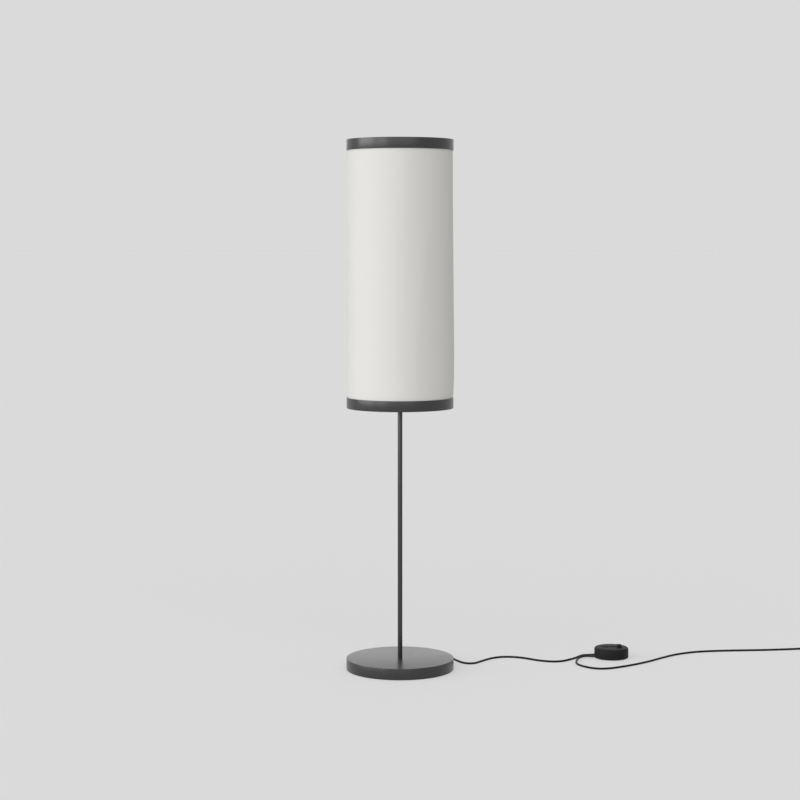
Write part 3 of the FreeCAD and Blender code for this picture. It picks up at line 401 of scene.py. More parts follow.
def ribs(count: int, start: float, pitch: float, size: float, taper: float,
         rib: Profile) -> list[tuple[float, float]]:
    """Return the part of a profile that has ribs, or the rounds of a thread.

    Args:
        count: how many.
        start: where the first one is along the axis, in metres.
        pitch: from one to the next, in millimetres.
        size: the radius of the first, in metres.
        taper: how much the radius grows from one to the next, in millimetres.
        rib: one rib's corners in millimetres, as (further out, further along).

    Returns:
        (radius, height) corners in metres.
    """
    return [(size + (taper * step + out) * MM, start + (pitch * step + along) * MM)
            for step in range(count) for out, along in rib]


def upright(shape: Shape) -> list[bmesh.types.BMEdge]:
    """Return the edges of a shape that run up and down."""
    return [edge for edge in shape.edges
            if abs(edge.verts[0].co.z - edge.verts[1].co.z) > TOUCH]


def moved(shape: Shape, spot: Place | Vector, axis: str = "Z", angle: float = 0.0) -> Shape:
    """Return the shape turned about an axis by degrees, then put at a spot."""
    turn = Matrix.Rotation(math.radians(angle), 4, axis)
    matrix = Matrix.Translation(Vector(spot)) @ turn
    bmesh.ops.transform(shape, matrix=matrix, verts=shape.verts[:])
    return shape


def mesh_of(shape: Shape) -> bpy.types.Mesh:
    """Return a mesh made from a shape, which is freed."""
    mesh = bpy.data.meshes.new("mesh")
    shape.to_mesh(mesh)
    shape.free()
    return mesh


def together(*shapes: Shape) -> Shape:
    """Return several shapes, which don't meet, as one."""
    whole = bmesh.new()
    for shape in shapes:
        mesh = mesh_of(shape)
        whole.from_mesh(mesh)
        bpy.data.meshes.remove(mesh)
    return whole


def combine(shape: Shape, how: Cut, *others: Shape) -> Shape:
    """Put closed shapes together.

    Args:
        shape: the shape that is worked on.
        how: whether the others are added or taken away.
        others: the closed shapes that it is worked with.

    Returns:
        The new shape.
    """
    made = [bpy.data.objects.new("work", mesh_of(item)) for item in (shape, *others)]
    for item in made:
        bpy.context.scene.collection.objects.link(item)
    for other in made[1:]:
        step = made[0].modifiers.new("cut", "BOOLEAN")
        step.operation = how.value
        step.solver = "EXACT"
        step.object = other
    graph = bpy.context.evaluated_depsgraph_get()
    mesh = bpy.data.meshes.new_from_object(made[0].evaluated_get(graph))
    for item in made:
        bpy.data.meshes.remove(item.data)
    whole = bmesh.new()
    whole.from_mesh(mesh)
    bpy.data.meshes.remove(mesh)
    return tidy(whole)


@dataclass(frozen=True)
class Span:
    """The box of a CAD node."""

    low: Vector
    high: Vector

    @classmethod
    def of(cls, node: str) -> "Span":
        """Return the box of the named node."""
        return cls(*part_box(node))

    @property
    def middle(self) -> Vector:
        """The box's centre."""
        return (self.low + self.high) / 2

    @property
    def radius(self) -> float:
        """Half the box's length along X."""
        return (self.high.x - self.low.x) / 2


class Workshop:
    """Turns shapes into finished pieces, with one material for each slot."""

    def __init__(self) -> None:
        """Make every finish once."""
        self.materials = {slot: finish.make(slot.value) for slot, finish in FINISHES.items()}
        self.pieces: list[str] = []

    def dress(self, piece: bpy.types.Object, slot: Slot, body: Body,
              nodes: Sequence[str]) -> None:
        """Give a piece its finish, its body and the nodes that it stands for.

        Args:
            piece: the object.
            slot: the material slot.
            body: what it rides on.
            nodes: the CAD nodes that it replaces.
        """
        piece.data.materials.append(self.materials[slot])
        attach(piece, body.value)
        if nodes:
            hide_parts(*nodes)
        self.pieces.append(piece.name)
        log.info("%s: %s on %s for %s", piece.name, slot.value, body.value, ", ".join(nodes))

    def piece(self, name: str, shape: Shape, slot: Slot, body: Body, *nodes: str,
              crease: float = 32.0) -> bpy.types.Object:
        """Make a finished piece out of a shape.

        Args:
            name: the piece's name.
            shape: its shape, which is freed.
            slot: the material slot.
            body: what it rides on.
            nodes: the CAD nodes that it replaces.
            crease: edges sharper than this many degrees stay sharp.

        Returns:
            The piece.
        """
        mesh = mesh_of(shape)
        mesh.name = name
        mesh.shade_smooth()
        mesh.set_sharp_from_angle(angle=math.radians(crease))
        piece = bpy.data.objects.new(name, mesh)
        bpy.context.scene.collection.objects.link(piece)
        self.dress(piece, slot, body, nodes)
        return piece

    def dress_rest(self) -> None:
        """Give every CAD node that still shows the finish of its slot."""
        for row in frame["record"]["subparts"]:
            item = frame["nodes"][row["node"]]
            for holder in item.material_slots:
                holder.material = self.materials[Slot(row["material_slot"])]
        log.info("dressed %d nodes", len(frame["nodes"]))


# ---------------------------------------------------------------- base and stem


@dataclass
class BaseDisc:
    """The painted steel cover over the weight, and the sleeve the lead leaves through."""

    wall: float = 2.5 * MM
    edge: float = 1.1 * MM
    exit_angle: float = 75.0
    exit_height: float = 7.5 * MM
    hole: float = 4.6 * MM          # in the middle and in the wall
    reach: float = 26.0 * MM        # the sleeve's length outside
    bore: float = 2.6 * MM
    rib: Profile = ((0.0, 0.0), (-0.75, 0.35), (-0.75, 1.25), (-0.05, 1.6))

    def build(self, shop: Workshop) -> None:
        """Make the cover and the sleeve."""
        span = Span.of("base_cover")
        outer, low, top = span.radius, span.low.z, span.high.z
        inner, under = outer - self.wall, top - self.wall
        shell = lathe([(self.hole, under), (inner, under), (inner, low), (outer, low),
                       (outer, top), (self.hole, top)],
                      {4: self.edge, 3: 0.6 * MM, 2: 0.3 * MM}, steps=180)
        way = moved(rod(self.hole, outer - 0.02, outer + 0.02), (0, 0, 0), "Y", 90)
        way = moved(way, (0, 0, self.exit_height), "Z", self.exit_angle)
        shop.piece("BaseCover", combine(shell, Cut.TAKE, way), Slot.PAINT, Body.STAND,
                   "base_cover")
        self.sleeve(shop, inner, outer)

    def sleeve(self, shop: Workshop, inner: float, outer: float) -> None:
        """Make the ribbed sleeve, from inside the wall to its tip."""
        tip = outer + self.reach
        profile = [(self.bore, inner - 2 * MM), (5.2 * MM, inner - 2 * MM),
                   (5.2 * MM, inner - 0.4 * MM), (4.4 * MM, inner - 0.4 * MM),
                   (4.4 * MM, outer + 0.3 * MM), (5.7 * MM, outer + 0.3 * MM),
                   (5.7 * MM, outer + 1.8 * MM), (4.8 * MM, outer + 2.8 * MM)]
        profile += ribs(6, outer + 5 * MM, 3.1, 4.6 * MM, -0.17, self.rib)
        profile += [(3.45 * MM, tip - 0.4 * MM), (3.2 * MM, tip), (self.bore, tip)]
        sleeve = moved(lathe(profile, {6: 0.4 * MM}, steps=48), (0, 0, 0), "Y", 90)
        moved(sleeve, (0, 0, self.exit_height), "Z", self.exit_angle)
        shop.piece("BaseSleeve", sleeve, Slot.RUBBER, Body.STAND, "base_relief")


@dataclass
class Stem:
    """Two straight tubes and the small junction cup between them."""

    wall: float = 1.0 * MM
    hole: float = 4.6 * MM          # through the cup and its lid
    cup_wall: float = 2.0 * MM
    cup_edge: float = 2.0 * MM
    door: float = 2.3 * MM          # radius of the leads' ways out of the cup
    door_height: float = 14.0 * MM

    def build(self, shop: Workshop) -> None:
        """Make the tubes, the cup, its lid and the threaded top."""
        for name, node in (("StemLower", "stem_lower"), ("StemUpper", "stem_upper")):
            shop.piece(name, self.tube(Span.of(node)), Slot.PAINT, Body.STAND, node)
        self.threads(shop)
        cup, lid = Span.of("junction_cup"), Span.of("junction_lid")
        radius, inner = cup.radius, cup.radius - self.cup_wall
        floor = cup.low.z + 2 * self.cup_wall
        shell = lathe([(self.hole, cup.low.z), (radius, cup.low.z), (radius, cup.high.z),
                       (inner, cup.high.z), (inner, floor), (self.hole, floor)],
                      {1: self.cup_edge, 2: 0.3 * MM}, steps=64)
        spot = (0, 0, cup.low.z + self.door_height)
        doors = moved(rod(self.door, -0.02, 0.02), spot, "Y", 90)
        shop.piece("JunctionCup", combine(shell, Cut.TAKE, doors), Slot.PAINT, Body.STAND,
                   "junction_cup")
        cover = lathe([(self.hole, lid.low.z), (radius, lid.low.z), (radius, lid.high.z),
                       (self.hole, lid.high.z)], {1: 0.3 * MM, 2: self.cup_edge}, steps=64)
        shop.piece("JunctionLid", cover, Slot.PAINT, Body.STAND, "junction_lid")

    def tube(self, span: Span) -> Shape:
        """Return a tube as long and as wide as a box, with its rims just broken."""
        outer, inner = span.radius, span.radius - self.wall
        return lathe([(inner, span.low.z), (outer, span.low.z), (outer, span.high.z),
                      (inner, span.high.z)], {1: 0.25 * MM, 2: 0.25 * MM}, steps=64)

    def threads(self, shop: Workshop) -> None:
        """Make the nipple at the top, with its thread as fine rings."""
        span = Span.of("top_nipple")
        outer, bore = span.radius, 2.5 * MM
        profile = [(bore, span.high.z), (bore, span.low.z), (outer, span.low.z),
                   *ribs(14, span.high.z - 15 * MM, 1.0, outer, 0.0, ((0.0, 0.0), (-0.45, 0.5))),
                   (outer - 0.5 * MM, span.high.z)]
        shop.piece("TopNipple", lathe(profile, steps=48), Slot.ZINC, Body.STAND, "top_nipple",
                   crease=60.0)


# ---------------------------------------------------------------- shade


@dataclass
class Shade:
    """The cloth cylinder between two painted rings, with the frame inside it."""

    cloth: float = 0.45 * MM                # thickness
    lap: float = 7.0 * MM                   # overlap of the glued seam at the back
    lap_lift: float = 0.48 * MM
    ring_edge: float = 0.35 * MM
    arm: tuple[float, float] = (7.0 * MM, 3.0 * MM)
    arm_angles: tuple[float, ...] = (90.0, 210.0, 330.0)
    strut_angles: tuple[float, ...] = (30.0, 150.0, 270.0)
    strut_radius: float = 2.0 * MM
    strut_out: float = 118.9 * MM
    inset: float = 0.07 * MM                # from the box to the resting cloth
    grid: tuple[int, int] = (240, 110)      # faces across and up the cloth
    front: float = 270.0                    # where the sheet's middle is; its lap is opposite
    middle: float = 0.9275                  # the cloth's middle height, in metres
    # how far the cloth stands out on its right side, by height
    slack: tuple[tuple[float, float], ...] = (
        (0.640, 0.2 * MM), (0.652, 2.0 * MM), (0.690, 3.3 * MM), (0.735, 3.4 * MM),
        (0.790, 2.9 * MM), (0.880, 2.0 * MM), (0.975, 1.2 * MM), (1.060, 0.6 * MM),
        (1.110, 0.1 * MM), (1.240, 0.0))
    slack_half: float = 62.0                # degrees to each side that the slack fades over
    # waves of the cloth: height in millimetres, waves in a turn, radians in a metre, phase
    waves: tuple[tuple[float, ...], ...] = (
        (0.16, 3, 4.0, 0.0), (0.11, 7, -6.5, 0.8), (0.07, 12, 9.0, 2.1))
    # creases: angle, drift and width in degrees, height in millimetres
    creases: tuple[tuple[float, ...], ...] = (
        (-64.0, 7.0, 6.0, 0.55), (-49.0, -9.0, 5.0, -0.40), (-34.0, 5.0, 5.0, 0.35),
        (140.0, 6.0, 6.5, 0.40), (205.0, -7.0, 6.5, 0.38))

    def build(self, shop: Workshop) -> None:
        """Make the rings, the cloth and the frame."""
        for name, node in (("BottomRing", "bottom_ring"), ("TopRing", "top_ring")):
            shop.piece(name, self.band(node, 1.6 * MM, self.ring_edge), Slot.PAINT, Body.SHADE,
                       node)
        for name, node in (("BottomHoop", "bottom_hoop"), ("TopHoop", "top_hoop")):
            shop.piece(name, self.band(node, 1.5 * MM, 0.3 * MM), Slot.PAINT, Body.SHADE, node)
        self.covering(shop)
        self.struts(shop)
        self.spider(shop)
        self.carrier(shop)

    def band(self, node: str, thick: float, edge: float) -> Shape:
        """Return a rolled strip in the place of a node."""
        span = Span.of(node)
        outer, low, high = span.radius, span.low.z, span.high.z
        corners = [(outer - thick, low), (outer, low), (outer, high), (outer - thick, high)]
        return lathe(corners, {0: edge, 1: edge, 2: edge, 3: edge}, steps=180)

    def stand_out(self, angle: float, height: float) -> float:
        """Return how far the cloth stands out, in metres.

        Args:
            angle: degrees anticlockwise from the right.
            height: metres above the floor.

        Returns:
            The extra radius.
        """
        amount = 0.0
        for (low, first), (high, last) in zip(self.slack, self.slack[1:]):
            if low <= height <= high:
                part = (height - low) / (high - low)
                amount = first + (last - first) * (3 * part ** 2 - 2 * part ** 3)
        side = abs((angle + 180.0) % 360.0 - 180.0)
        lobe = 0.0
        if side < self.slack_half:
            lobe = max(0.0, math.cos(math.radians(side * 90.0 / self.slack_half))) ** 1.5
        out = amount * lobe
        inside = max(0.0, min(1.0, (height - 0.642) / 0.05, (1.213 - height) / 0.05))
        ease = inside * inside * (3 - 2 * inside)
        turn, up = math.radians(angle), height - self.middle
        ripple = sum(rise * math.cos(count * turn + slope * up + phase)
                     for rise, count, slope, phase in self.waves)
        for start, drift, width, rise in self.creases:
            middle = start + drift * math.sin(9.0 * up) + 12.0 * up
            gap = (angle - middle + 180.0) % 360.0 - 180.0
            ripple += rise * math.exp(-(gap / width) ** 2)
        return out + ripple * ease * MM

    def covering(self, shop: Workshop) -> None:
        """Make the cloth: one flat sheet, rolled up and lapped at the back."""
        span = Span.of("shade_fabric")
        radius = -span.low.x - self.cloth - self.inset
        tall = span.high.z - span.low.z
        whole = math.tau * radius + self.lap
        shape = bmesh.new()
        bmesh.ops.create_grid(shape, x_segments=self.grid[0], y_segments=self.grid[1],
                              size=0.5, calc_uvs=True)
        for vert in shape.verts:
            along = vert.co.x * whole
            angle = self.front + math.degrees(along / radius)
            height = span.low.z + (vert.co.y + 0.5) * tall
            over = max(0.0, min(1.0, (along - whole / 2 + 2 * self.lap) / self.lap))
            out = radius + self.lap_lift * over * over * (3 - 2 * over)
            out += self.stand_out(angle, height)
            turn = math.radians(angle)
            vert.co = (out * math.cos(turn), out * math.sin(turn), height)
        cloth = shop.piece("ShadeCloth", shape, Slot.FABRIC, Body.SHADE, "shade_fabric",
                           crease=70.0)
        wall = cloth.modifiers.new("Thickness", "SOLIDIFY")
        wall.thickness = self.cloth
        wall.offset = -1.0

    def struts(self, shop: Workshop) -> None:
        """Make the three rods between the hoops."""
        span = Span.of("shade_struts")
        radius, out = self.strut_radius, self.strut_out
        rods = []
        for angle in self.strut_angles:
            bar = lathe([(0.0, span.low.z), (radius, span.low.z), (radius, span.high.z),
                         (0.0, span.high.z)], {1: 0.5 * MM, 2: 0.5 * MM}, steps=32, solid=True)
            turn = math.radians(angle)
            rods.append(moved(bar, (out * math.cos(turn), out * math.sin(turn), 0.0)))
        shop.piece("ShadeStruts", together(*rods), Slot.PAINT, Body.SHADE, "shade_struts")

    def arms(self, reach: float, start: float, level: float) -> list[Shape]:
        """Return flat arms from near the axis to a reach, at a level."""
        long = reach - start
        arms = []
        for angle in self.arm_angles:
            bar = moved(block((long, *self.arm), 0.5 * MM, 2), (start + long / 2, 0.0, level))
            arms.append(moved(bar, (0, 0, 0), "Z", angle))
        return arms

    def spider(self, shop: Workshop) -> None:
        """Make the hub and arms that hang the shade on the stem's top."""
        low, high = Span.of("top_spider").low.z, Span.of("top_spider").high.z
        hub = lathe([(4.9 * MM, low), (13 * MM, low), (13 * MM, high), (4.9 * MM, high)],
                    {1: 0.4 * MM, 2: 0.8 * MM}, steps=72)
        level = low + 0.5 * MM + self.arm[1] / 2
        arms = self.arms(120.85 * MM, 8.0 * MM, level)
        shop.piece("ShadeSpider", combine(hub, Cut.ADD, *arms), Slot.PAINT, Body.SHADE,
                   "top_spider")

    def carrier(self, shop: Workshop) -> None:
        """Make the lower star that keeps the shade's bottom centred."""
        span = Span.of("bottom_carrier")
        radius, low, high = 9.0 * MM, span.low.z, span.high.z
        bore = Span.of("stem_lower").radius + 0.05 * MM
        hub = lathe([(bore, low), (radius, low), (radius, high), (bore, high)],
                    {1: 0.8 * MM, 2: 0.8 * MM}, steps=64)
        arms = self.arms(117.4 * MM, 7.0 * MM, high - 2.5 * MM)
        tap = moved(rod(2.05 * MM, 0.0, 0.02), (0, 0, high - 5 * MM), "X", -90)
        star = combine(combine(hub, Cut.ADD, *arms), Cut.TAKE, tap)
        shop.piece("ShadeCarrier", star, Slot.PAINT, Body.STAND, "bottom_carrier")


@dataclass
class Finial:
    """The fluted cap nut on top of the shade."""

    radius: float = 10.0 * MM
    flutes: int = 12
    flute: float = 1.6 * MM         # radius of the tool that cuts a flute
    bore: float = 4.8 * MM
    roof: float = 1.4 * MM

    def build(self, shop: Workshop) -> None:
        """Make the nut."""
        span = Span.of("finial")
        radius, low, high = self.radius, span.low.z, span.high.z
        under = high - self.roof
        nut = lathe([(0.0, under), (self.bore, under), (self.bore, low), (radius, low),
                     (radius, high), (0.0, high)],
                    {3: 0.5 * MM, 4: 1.6 * MM}, steps=96, solid=True)
        tools = []
        for step in range(self.flutes):
            turn = math.tau * step / self.flutes
            out = radius + 0.9 * MM
            spot = (out * math.cos(turn), out * math.sin(turn), low + 2.5 * MM)
            tools.append(moved(rod(self.flute, 0.0, 0.02, 20), spot))
        nut = combine(nut, Cut.TAKE, together(*tools))
        shop.piece("FinialNut", nut, Slot.PAINT, Body.FINIAL, "finial")


# ---------------------------------------------------------------- light


@dataclass
class Light:
    """One lampholder with its bulb: holder shell, screw cap, moulded body and opal globe."""

    level: str              # "lower" or "upper"
    body: Body
    stalk: float = 5.0 * MM         # radius of the holder's threaded tail
    way: float = 3.0 * MM           # radius of the hole through it
    wall: float = 4.6 * MM
    neck: float = 13.5 * MM         # radius of the bulb's body at its cap
    thread: Profile = ((-0.35, -0.9), (0.0, 0.0), (-0.35, 0.9), (-0.85, 2.1))

    def build(self, shop: Workshop) -> None:
        """Make the holder and the bulb."""
        title = self.level.capitalize()
        node = "holder_" + self.level
        span = Span.of(node)
        centre, radius = span.middle, span.radius
        base = span.low.z + 8 * MM
        groove, inner = radius - 0.6 * MM, radius - self.wall
        shell = lathe([(self.way, span.low.z), (self.stalk, span.low.z), (self.stalk, base),
                       (radius - 5.5 * MM, base), (radius - 2 * MM, base + 7 * MM),
                       (radius, base + 16 * MM), (radius, base + 33 * MM),
                       (groove, base + 33.4 * MM), (groove, base + 34.4 * MM),
                       (radius, base + 34.8 * MM), (radius, span.high.z),
                       (inner, span.high.z), (inner, base + 13 * MM),
                       (self.way, base + 13 * MM)],
                      {3: 0.8 * MM, 10: 1.2 * MM, 11: 0.6 * MM}, steps=80)
        moved(shell, (centre.x, 0.0, 0.0))
        shop.piece("Holder" + title, shell, Slot.WHITE, Body.STAND, node)
        self.cap(shop, title, centre.x)
        self.moulding(shop, title, centre.x)
        self.globe(shop, title, centre.x)

    def cap(self, shop: Workshop, title: str, across: float) -> None:
        """Make the screw cap with its rolled thread."""
        node = f"bulb_{self.level}_cap"
        span = Span.of(node)
        low, radius = span.low.z, span.radius
        profile = [(0.0, low), (4 * MM, low), (5 * MM, low + 1.5 * MM),
                   (radius - MM, low + 5.5 * MM),
                   *ribs(4, low + 8 * MM, 4.2, radius, 0.0, self.thread),
                   (radius - 0.3 * MM, low + 25 * MM), (radius - 0.3 * MM, span.high.z),
                   (0.0, span.high.z)]
        cap = moved(lathe(profile, steps=64, solid=True), (across, 0, 0))
        shop.piece("BulbCap" + title, cap, Slot.NICKEL, self.body, node, crease=60.0)

    def moulding(self, shop: Workshop, title: str, across: float) -> None:
        """Make the white body between cap and globe."""
        node = f"bulb_{self.level}_body"
        span = Span.of(node)
        low, high, wide, neck = span.low.z, span.high.z, span.radius, self.neck
        profile = [(0.0, low), (neck, low), (neck + MM, low + 10.5 * MM),
                   (neck + 5.6 * MM, low + 22 * MM), (wide, high), (0.0, high)]
        body = lathe(profile, {2: 6 * MM, 3: 8 * MM, 4: 0.4 * MM}, steps=80, solid=True)
        moved(body, (across, 0, 0))
        shop.piece("BulbBody" + title, body, Slot.WHITE, self.body, node)

    def globe(self, shop: Workshop, title: str, across: float) -> None:
        """Make the opal globe, cut off flat where it sits on the body."""
        node = f"bulb_{self.level}_globe"
        span = Span.of(node)
        shape = bmesh.new()
        bmesh.ops.create_uvsphere(shape, u_segments=80, v_segments=48, radius=span.radius)
        moved(shape, (across, 0.0, span.high.z - span.radius))
        parts = shape.verts[:] + shape.edges[:] + shape.faces[:]
        bmesh.ops.bisect_plane(shape, geom=parts, plane_co=(0, 0, span.low.z),
                               plane_no=(0, 0, -1), clear_outer=True)
        rim = [edge for edge in shape.edges if edge.is_boundary]
        bmesh.ops.holes_fill(shape, edges=rim)
        shop.piece("BulbGlobe" + title, tidy(shape), Slot.OPAL, self.body, node)


# ---------------------------------------------------------------- dimmer


@dataclass
class Dimmer:
    """The round foot dimmer: two shells, a slot with a sunk track, and the knob in it."""

    wall: float = 2.0 * MM
    roof: float = 2.6 * MM
    edge: float = 5.0 * MM
    seam: float = 0.35 * MM
    slot: tuple[float, float] = (42.0 * MM, 3.4 * MM)
    track: Place = (51.0 * MM, 18.0 * MM, 0.8 * MM)
    entries: tuple[float, float] = (-6.0 * MM, 6.0 * MM)
    entry_height: float = 5.2 * MM
    screw_out: float = 31.0 * MM
    proud: float = 1.6 * MM         # how much longer the knob's cap is than its solid
    hollow: float = 1.1 * MM        # for a fingertip, in the knob's top
    rib: Profile = ((0.0, 0.0), (-0.35, 0.3), (-0.35, 0.9), (0.0, 1.2))

    @property
    def centre(self) -> Vector:
        """The dimmer's middle, on the floor."""
        middle = Span.of("dimmer_cover").middle
        return Vector((middle.x, middle.y, 0.0))

    def build(self, shop: Workshop) -> None:
        """Make the shells, the knob and the sleeves."""
        span = Span.of("dimmer_cover")
        self.cover(shop, span)
        self.tray(shop)
        self.knob(shop)
        self.sleeves(shop, span.radius)

    def cover(self, shop: Workshop, span: Span) -> None:
        """Make the upper shell."""
        radius, low, top = span.radius, span.low.z, span.high.z
        inner, under = radius - self.wall, top - self.roof
        shell = lathe([(0.0, under), (inner, under), (inner, low), (radius - 0.4 * MM, low),
                       (radius, low + 0.4 * MM), (radius, top), (0.0, top)],
                      {5: self.edge, 1: 2 * MM}, steps=144, solid=True)
        sink = block((self.track[0], self.track[1], 2 * self.track[2]))
        bevel(sink, upright(sink), 3 * MM, 5)
        moved(sink, (0, 0, top))
        gap = block((self.slot[0], self.slot[1], 12 * MM))
        bevel(gap, upright(gap), 1.6 * MM, 5)
        moved(gap, (0, 0, top - 3 * MM))
        shell = combine(combine(shell, Cut.TAKE, sink), Cut.TAKE, gap)
        shop.piece("DimmerCover", moved(shell, self.centre), Slot.BLACK, Body.STAND,
                   "dimmer_cover")

    def tray(self, shop: Workshop) -> None:
        """Make the lower shell, with its screw holes and lead entries."""
        span = Span.of("dimmer_base")
        radius, low, high = span.radius, span.low.z, Span.of("dimmer_cover").low.z
        shell = lathe([(0.0, low), (radius, low), (radius, high - self.seam - 0.4 * MM),
                       (radius - 0.5 * MM, high - self.seam), (radius - 0.5 * MM, high),
                       (radius - self.wall, high), (radius - self.wall, low + self.wall),
                       (0.0, low + self.wall)], {1: 2 * MM}, steps=144, solid=True)
        tools = []
        for side in (-1, 1):
            spot = (0.0, side * self.screw_out, 0.0)
            tools.append(moved(rod(3.0 * MM, low - MM, low + 1.9 * MM), spot))
        for aside in self.entries:
            spot = (-radius, aside, self.entry_height)
            tools.append(moved(rod(3.5 * MM, -5 * MM, 8 * MM), spot, "Y", 90))
        shell = combine(shell, Cut.TAKE, *tools)
        shop.piece("DimmerTray", moved(shell, self.centre), Slot.BLACK, Body.STAND,
                   "dimmer_base")

    def knob(self, shop: Workshop) -> None:
        """Make the knob: hollowed for a fingertip, ribbed on its top, on a thin stalk."""
        span = Span.of("dimmer_knob")
        long, wide = span.high.x - span.low.x + self.proud, span.high.y - span.low.y
        low = Span.of("dimmer_cover").high.z - 0.4 * MM
        tall = span.high.z - low
        cap = moved(block((long, wide, tall), 1.0 * MM, 4), (0, 0, low + tall / 2))
        finger = 1.5 * wide
        spot = (0, 0, span.high.z + finger - self.hollow)
        cap = combine(cap, Cut.TAKE, moved(rod(finger, -long, long, 160), spot, "Y", 90))
        grooves = [moved(block((0.55 * MM, wide - 4 * MM, 3.4 * MM), 0.15 * MM, 1),
                         (step * 1.5 * MM, 0, span.high.z)) for step in (-1, 0, 1)]
        cap = combine(cap, Cut.TAKE, together(*grooves))
        stalk_low = span.low.z
        stalk = moved(block((2.8 * MM, 2.6 * MM, low + MM - stalk_low), 0.2 * MM, 1),
                      (0, 0, (low + MM + stalk_low) / 2))
        knob = combine(cap, Cut.ADD, stalk)
        spot = (span.middle.x, span.middle.y, 0.0)
        shop.piece("DimmerKnob", moved(knob, spot), Slot.BLACK, Body.SLIDER, "dimmer_knob")

    def sleeves(self, shop: Workshop, radius: float) -> None:
        """Make the two ribbed sleeves where the leads go in."""
        made = []
        for aside in self.entries:
            profile = [(0.0, -6 * MM), (3.4 * MM, -6 * MM), (3.4 * MM, 1.0 * MM),
                       *ribs(4, 1.8 * MM, 2.5, 3.35 * MM, -0.08, self.rib),
                       (3.0 * MM, 11.7 * MM), (2.8 * MM, 12 * MM), (0.0, 12 * MM)]
            sleeve = lathe(profile, steps=40, solid=True)
            spot = self.centre + Vector((0.4 * MM - radius, aside, self.entry_height))
            made.append(moved(sleeve, spot, "Y", -90))
        shop.piece("DimmerSleeves", together(*made), Slot.RUBBER, Body.STAND, "dimmer_reliefs")


# ---------------------------------------------------------------- leads and plug


# The lamp's lead, over the floor from the base's sleeve to the dimmer, in millimetres.
LAMP_ROUTE = (
    (39.34, 146.82, 7.5), (42.97, 160.37, 7.5), (49, 173.5, 4.6), (60.5, 182, 2.5),
    (76, 184, 2.5), (91, 177.5, 2.5), (102.5, 163, 2.5), (111, 144, 2.5), (118, 124, 2.5),
    (126, 103, 2.5), (134.5, 81, 2.5), (143.7, 62.2, 2.5), (152.1, 51, 2.5), (158.7, 46.9, 2.5),
    (166.3, 45.5, 2.5), (173.9, 47, 2.5), (180.5, 51.2, 2.5), (189.3, 63.3, 2.5),
    (204, 84.5, 2.5), (220, 104, 2.5), (241, 117.5, 2.5), (262, 120, 2.5), (283, 114.5, 2.5),
    (304, 102, 2.5), (324, 83.5, 2.5), (345, 71, 2.5), (368, 65, 2.5), (389, 71, 2.5),
    (405, 87, 2.5), (420, 104, 2.5), (429, 115.5, 3.2), (437, 123.5, 4.4), (446, 128, 5.2),
    (457.4, 128, 5.2),
)

# The mains lead, from the dimmer round its front and out to the put-away coil.
MAINS_ROUTE = (
    (457.4, 116, 5.2), (448.4, 116, 5.2), (439.5, 112.8, 4.8), (432.4, 106.4, 3.8),
    (426.4, 96, 2.8), (421.5, 72, 2.5), (418.5, 49, 2.5), (423.5, 28, 2.5), (437, 7.5, 2.5),
    (455, -8, 2.5), (474, -13, 2.5), (496, -7, 2.5), (522, 9, 2.5), (553, 31, 2.5),
    (593, 66, 2.5), (630, 108, 2.5), (672, 150, 2.5), (726, 179, 2.5), (786, 189, 2.5),
    (843, 194, 2.5), (895, 197.5, 2.5), (945, 205, 2.5), (983, 211.5, 2.7), (1012, 215.5, 3.4),
    (1036, 215.5, 3.4),
)


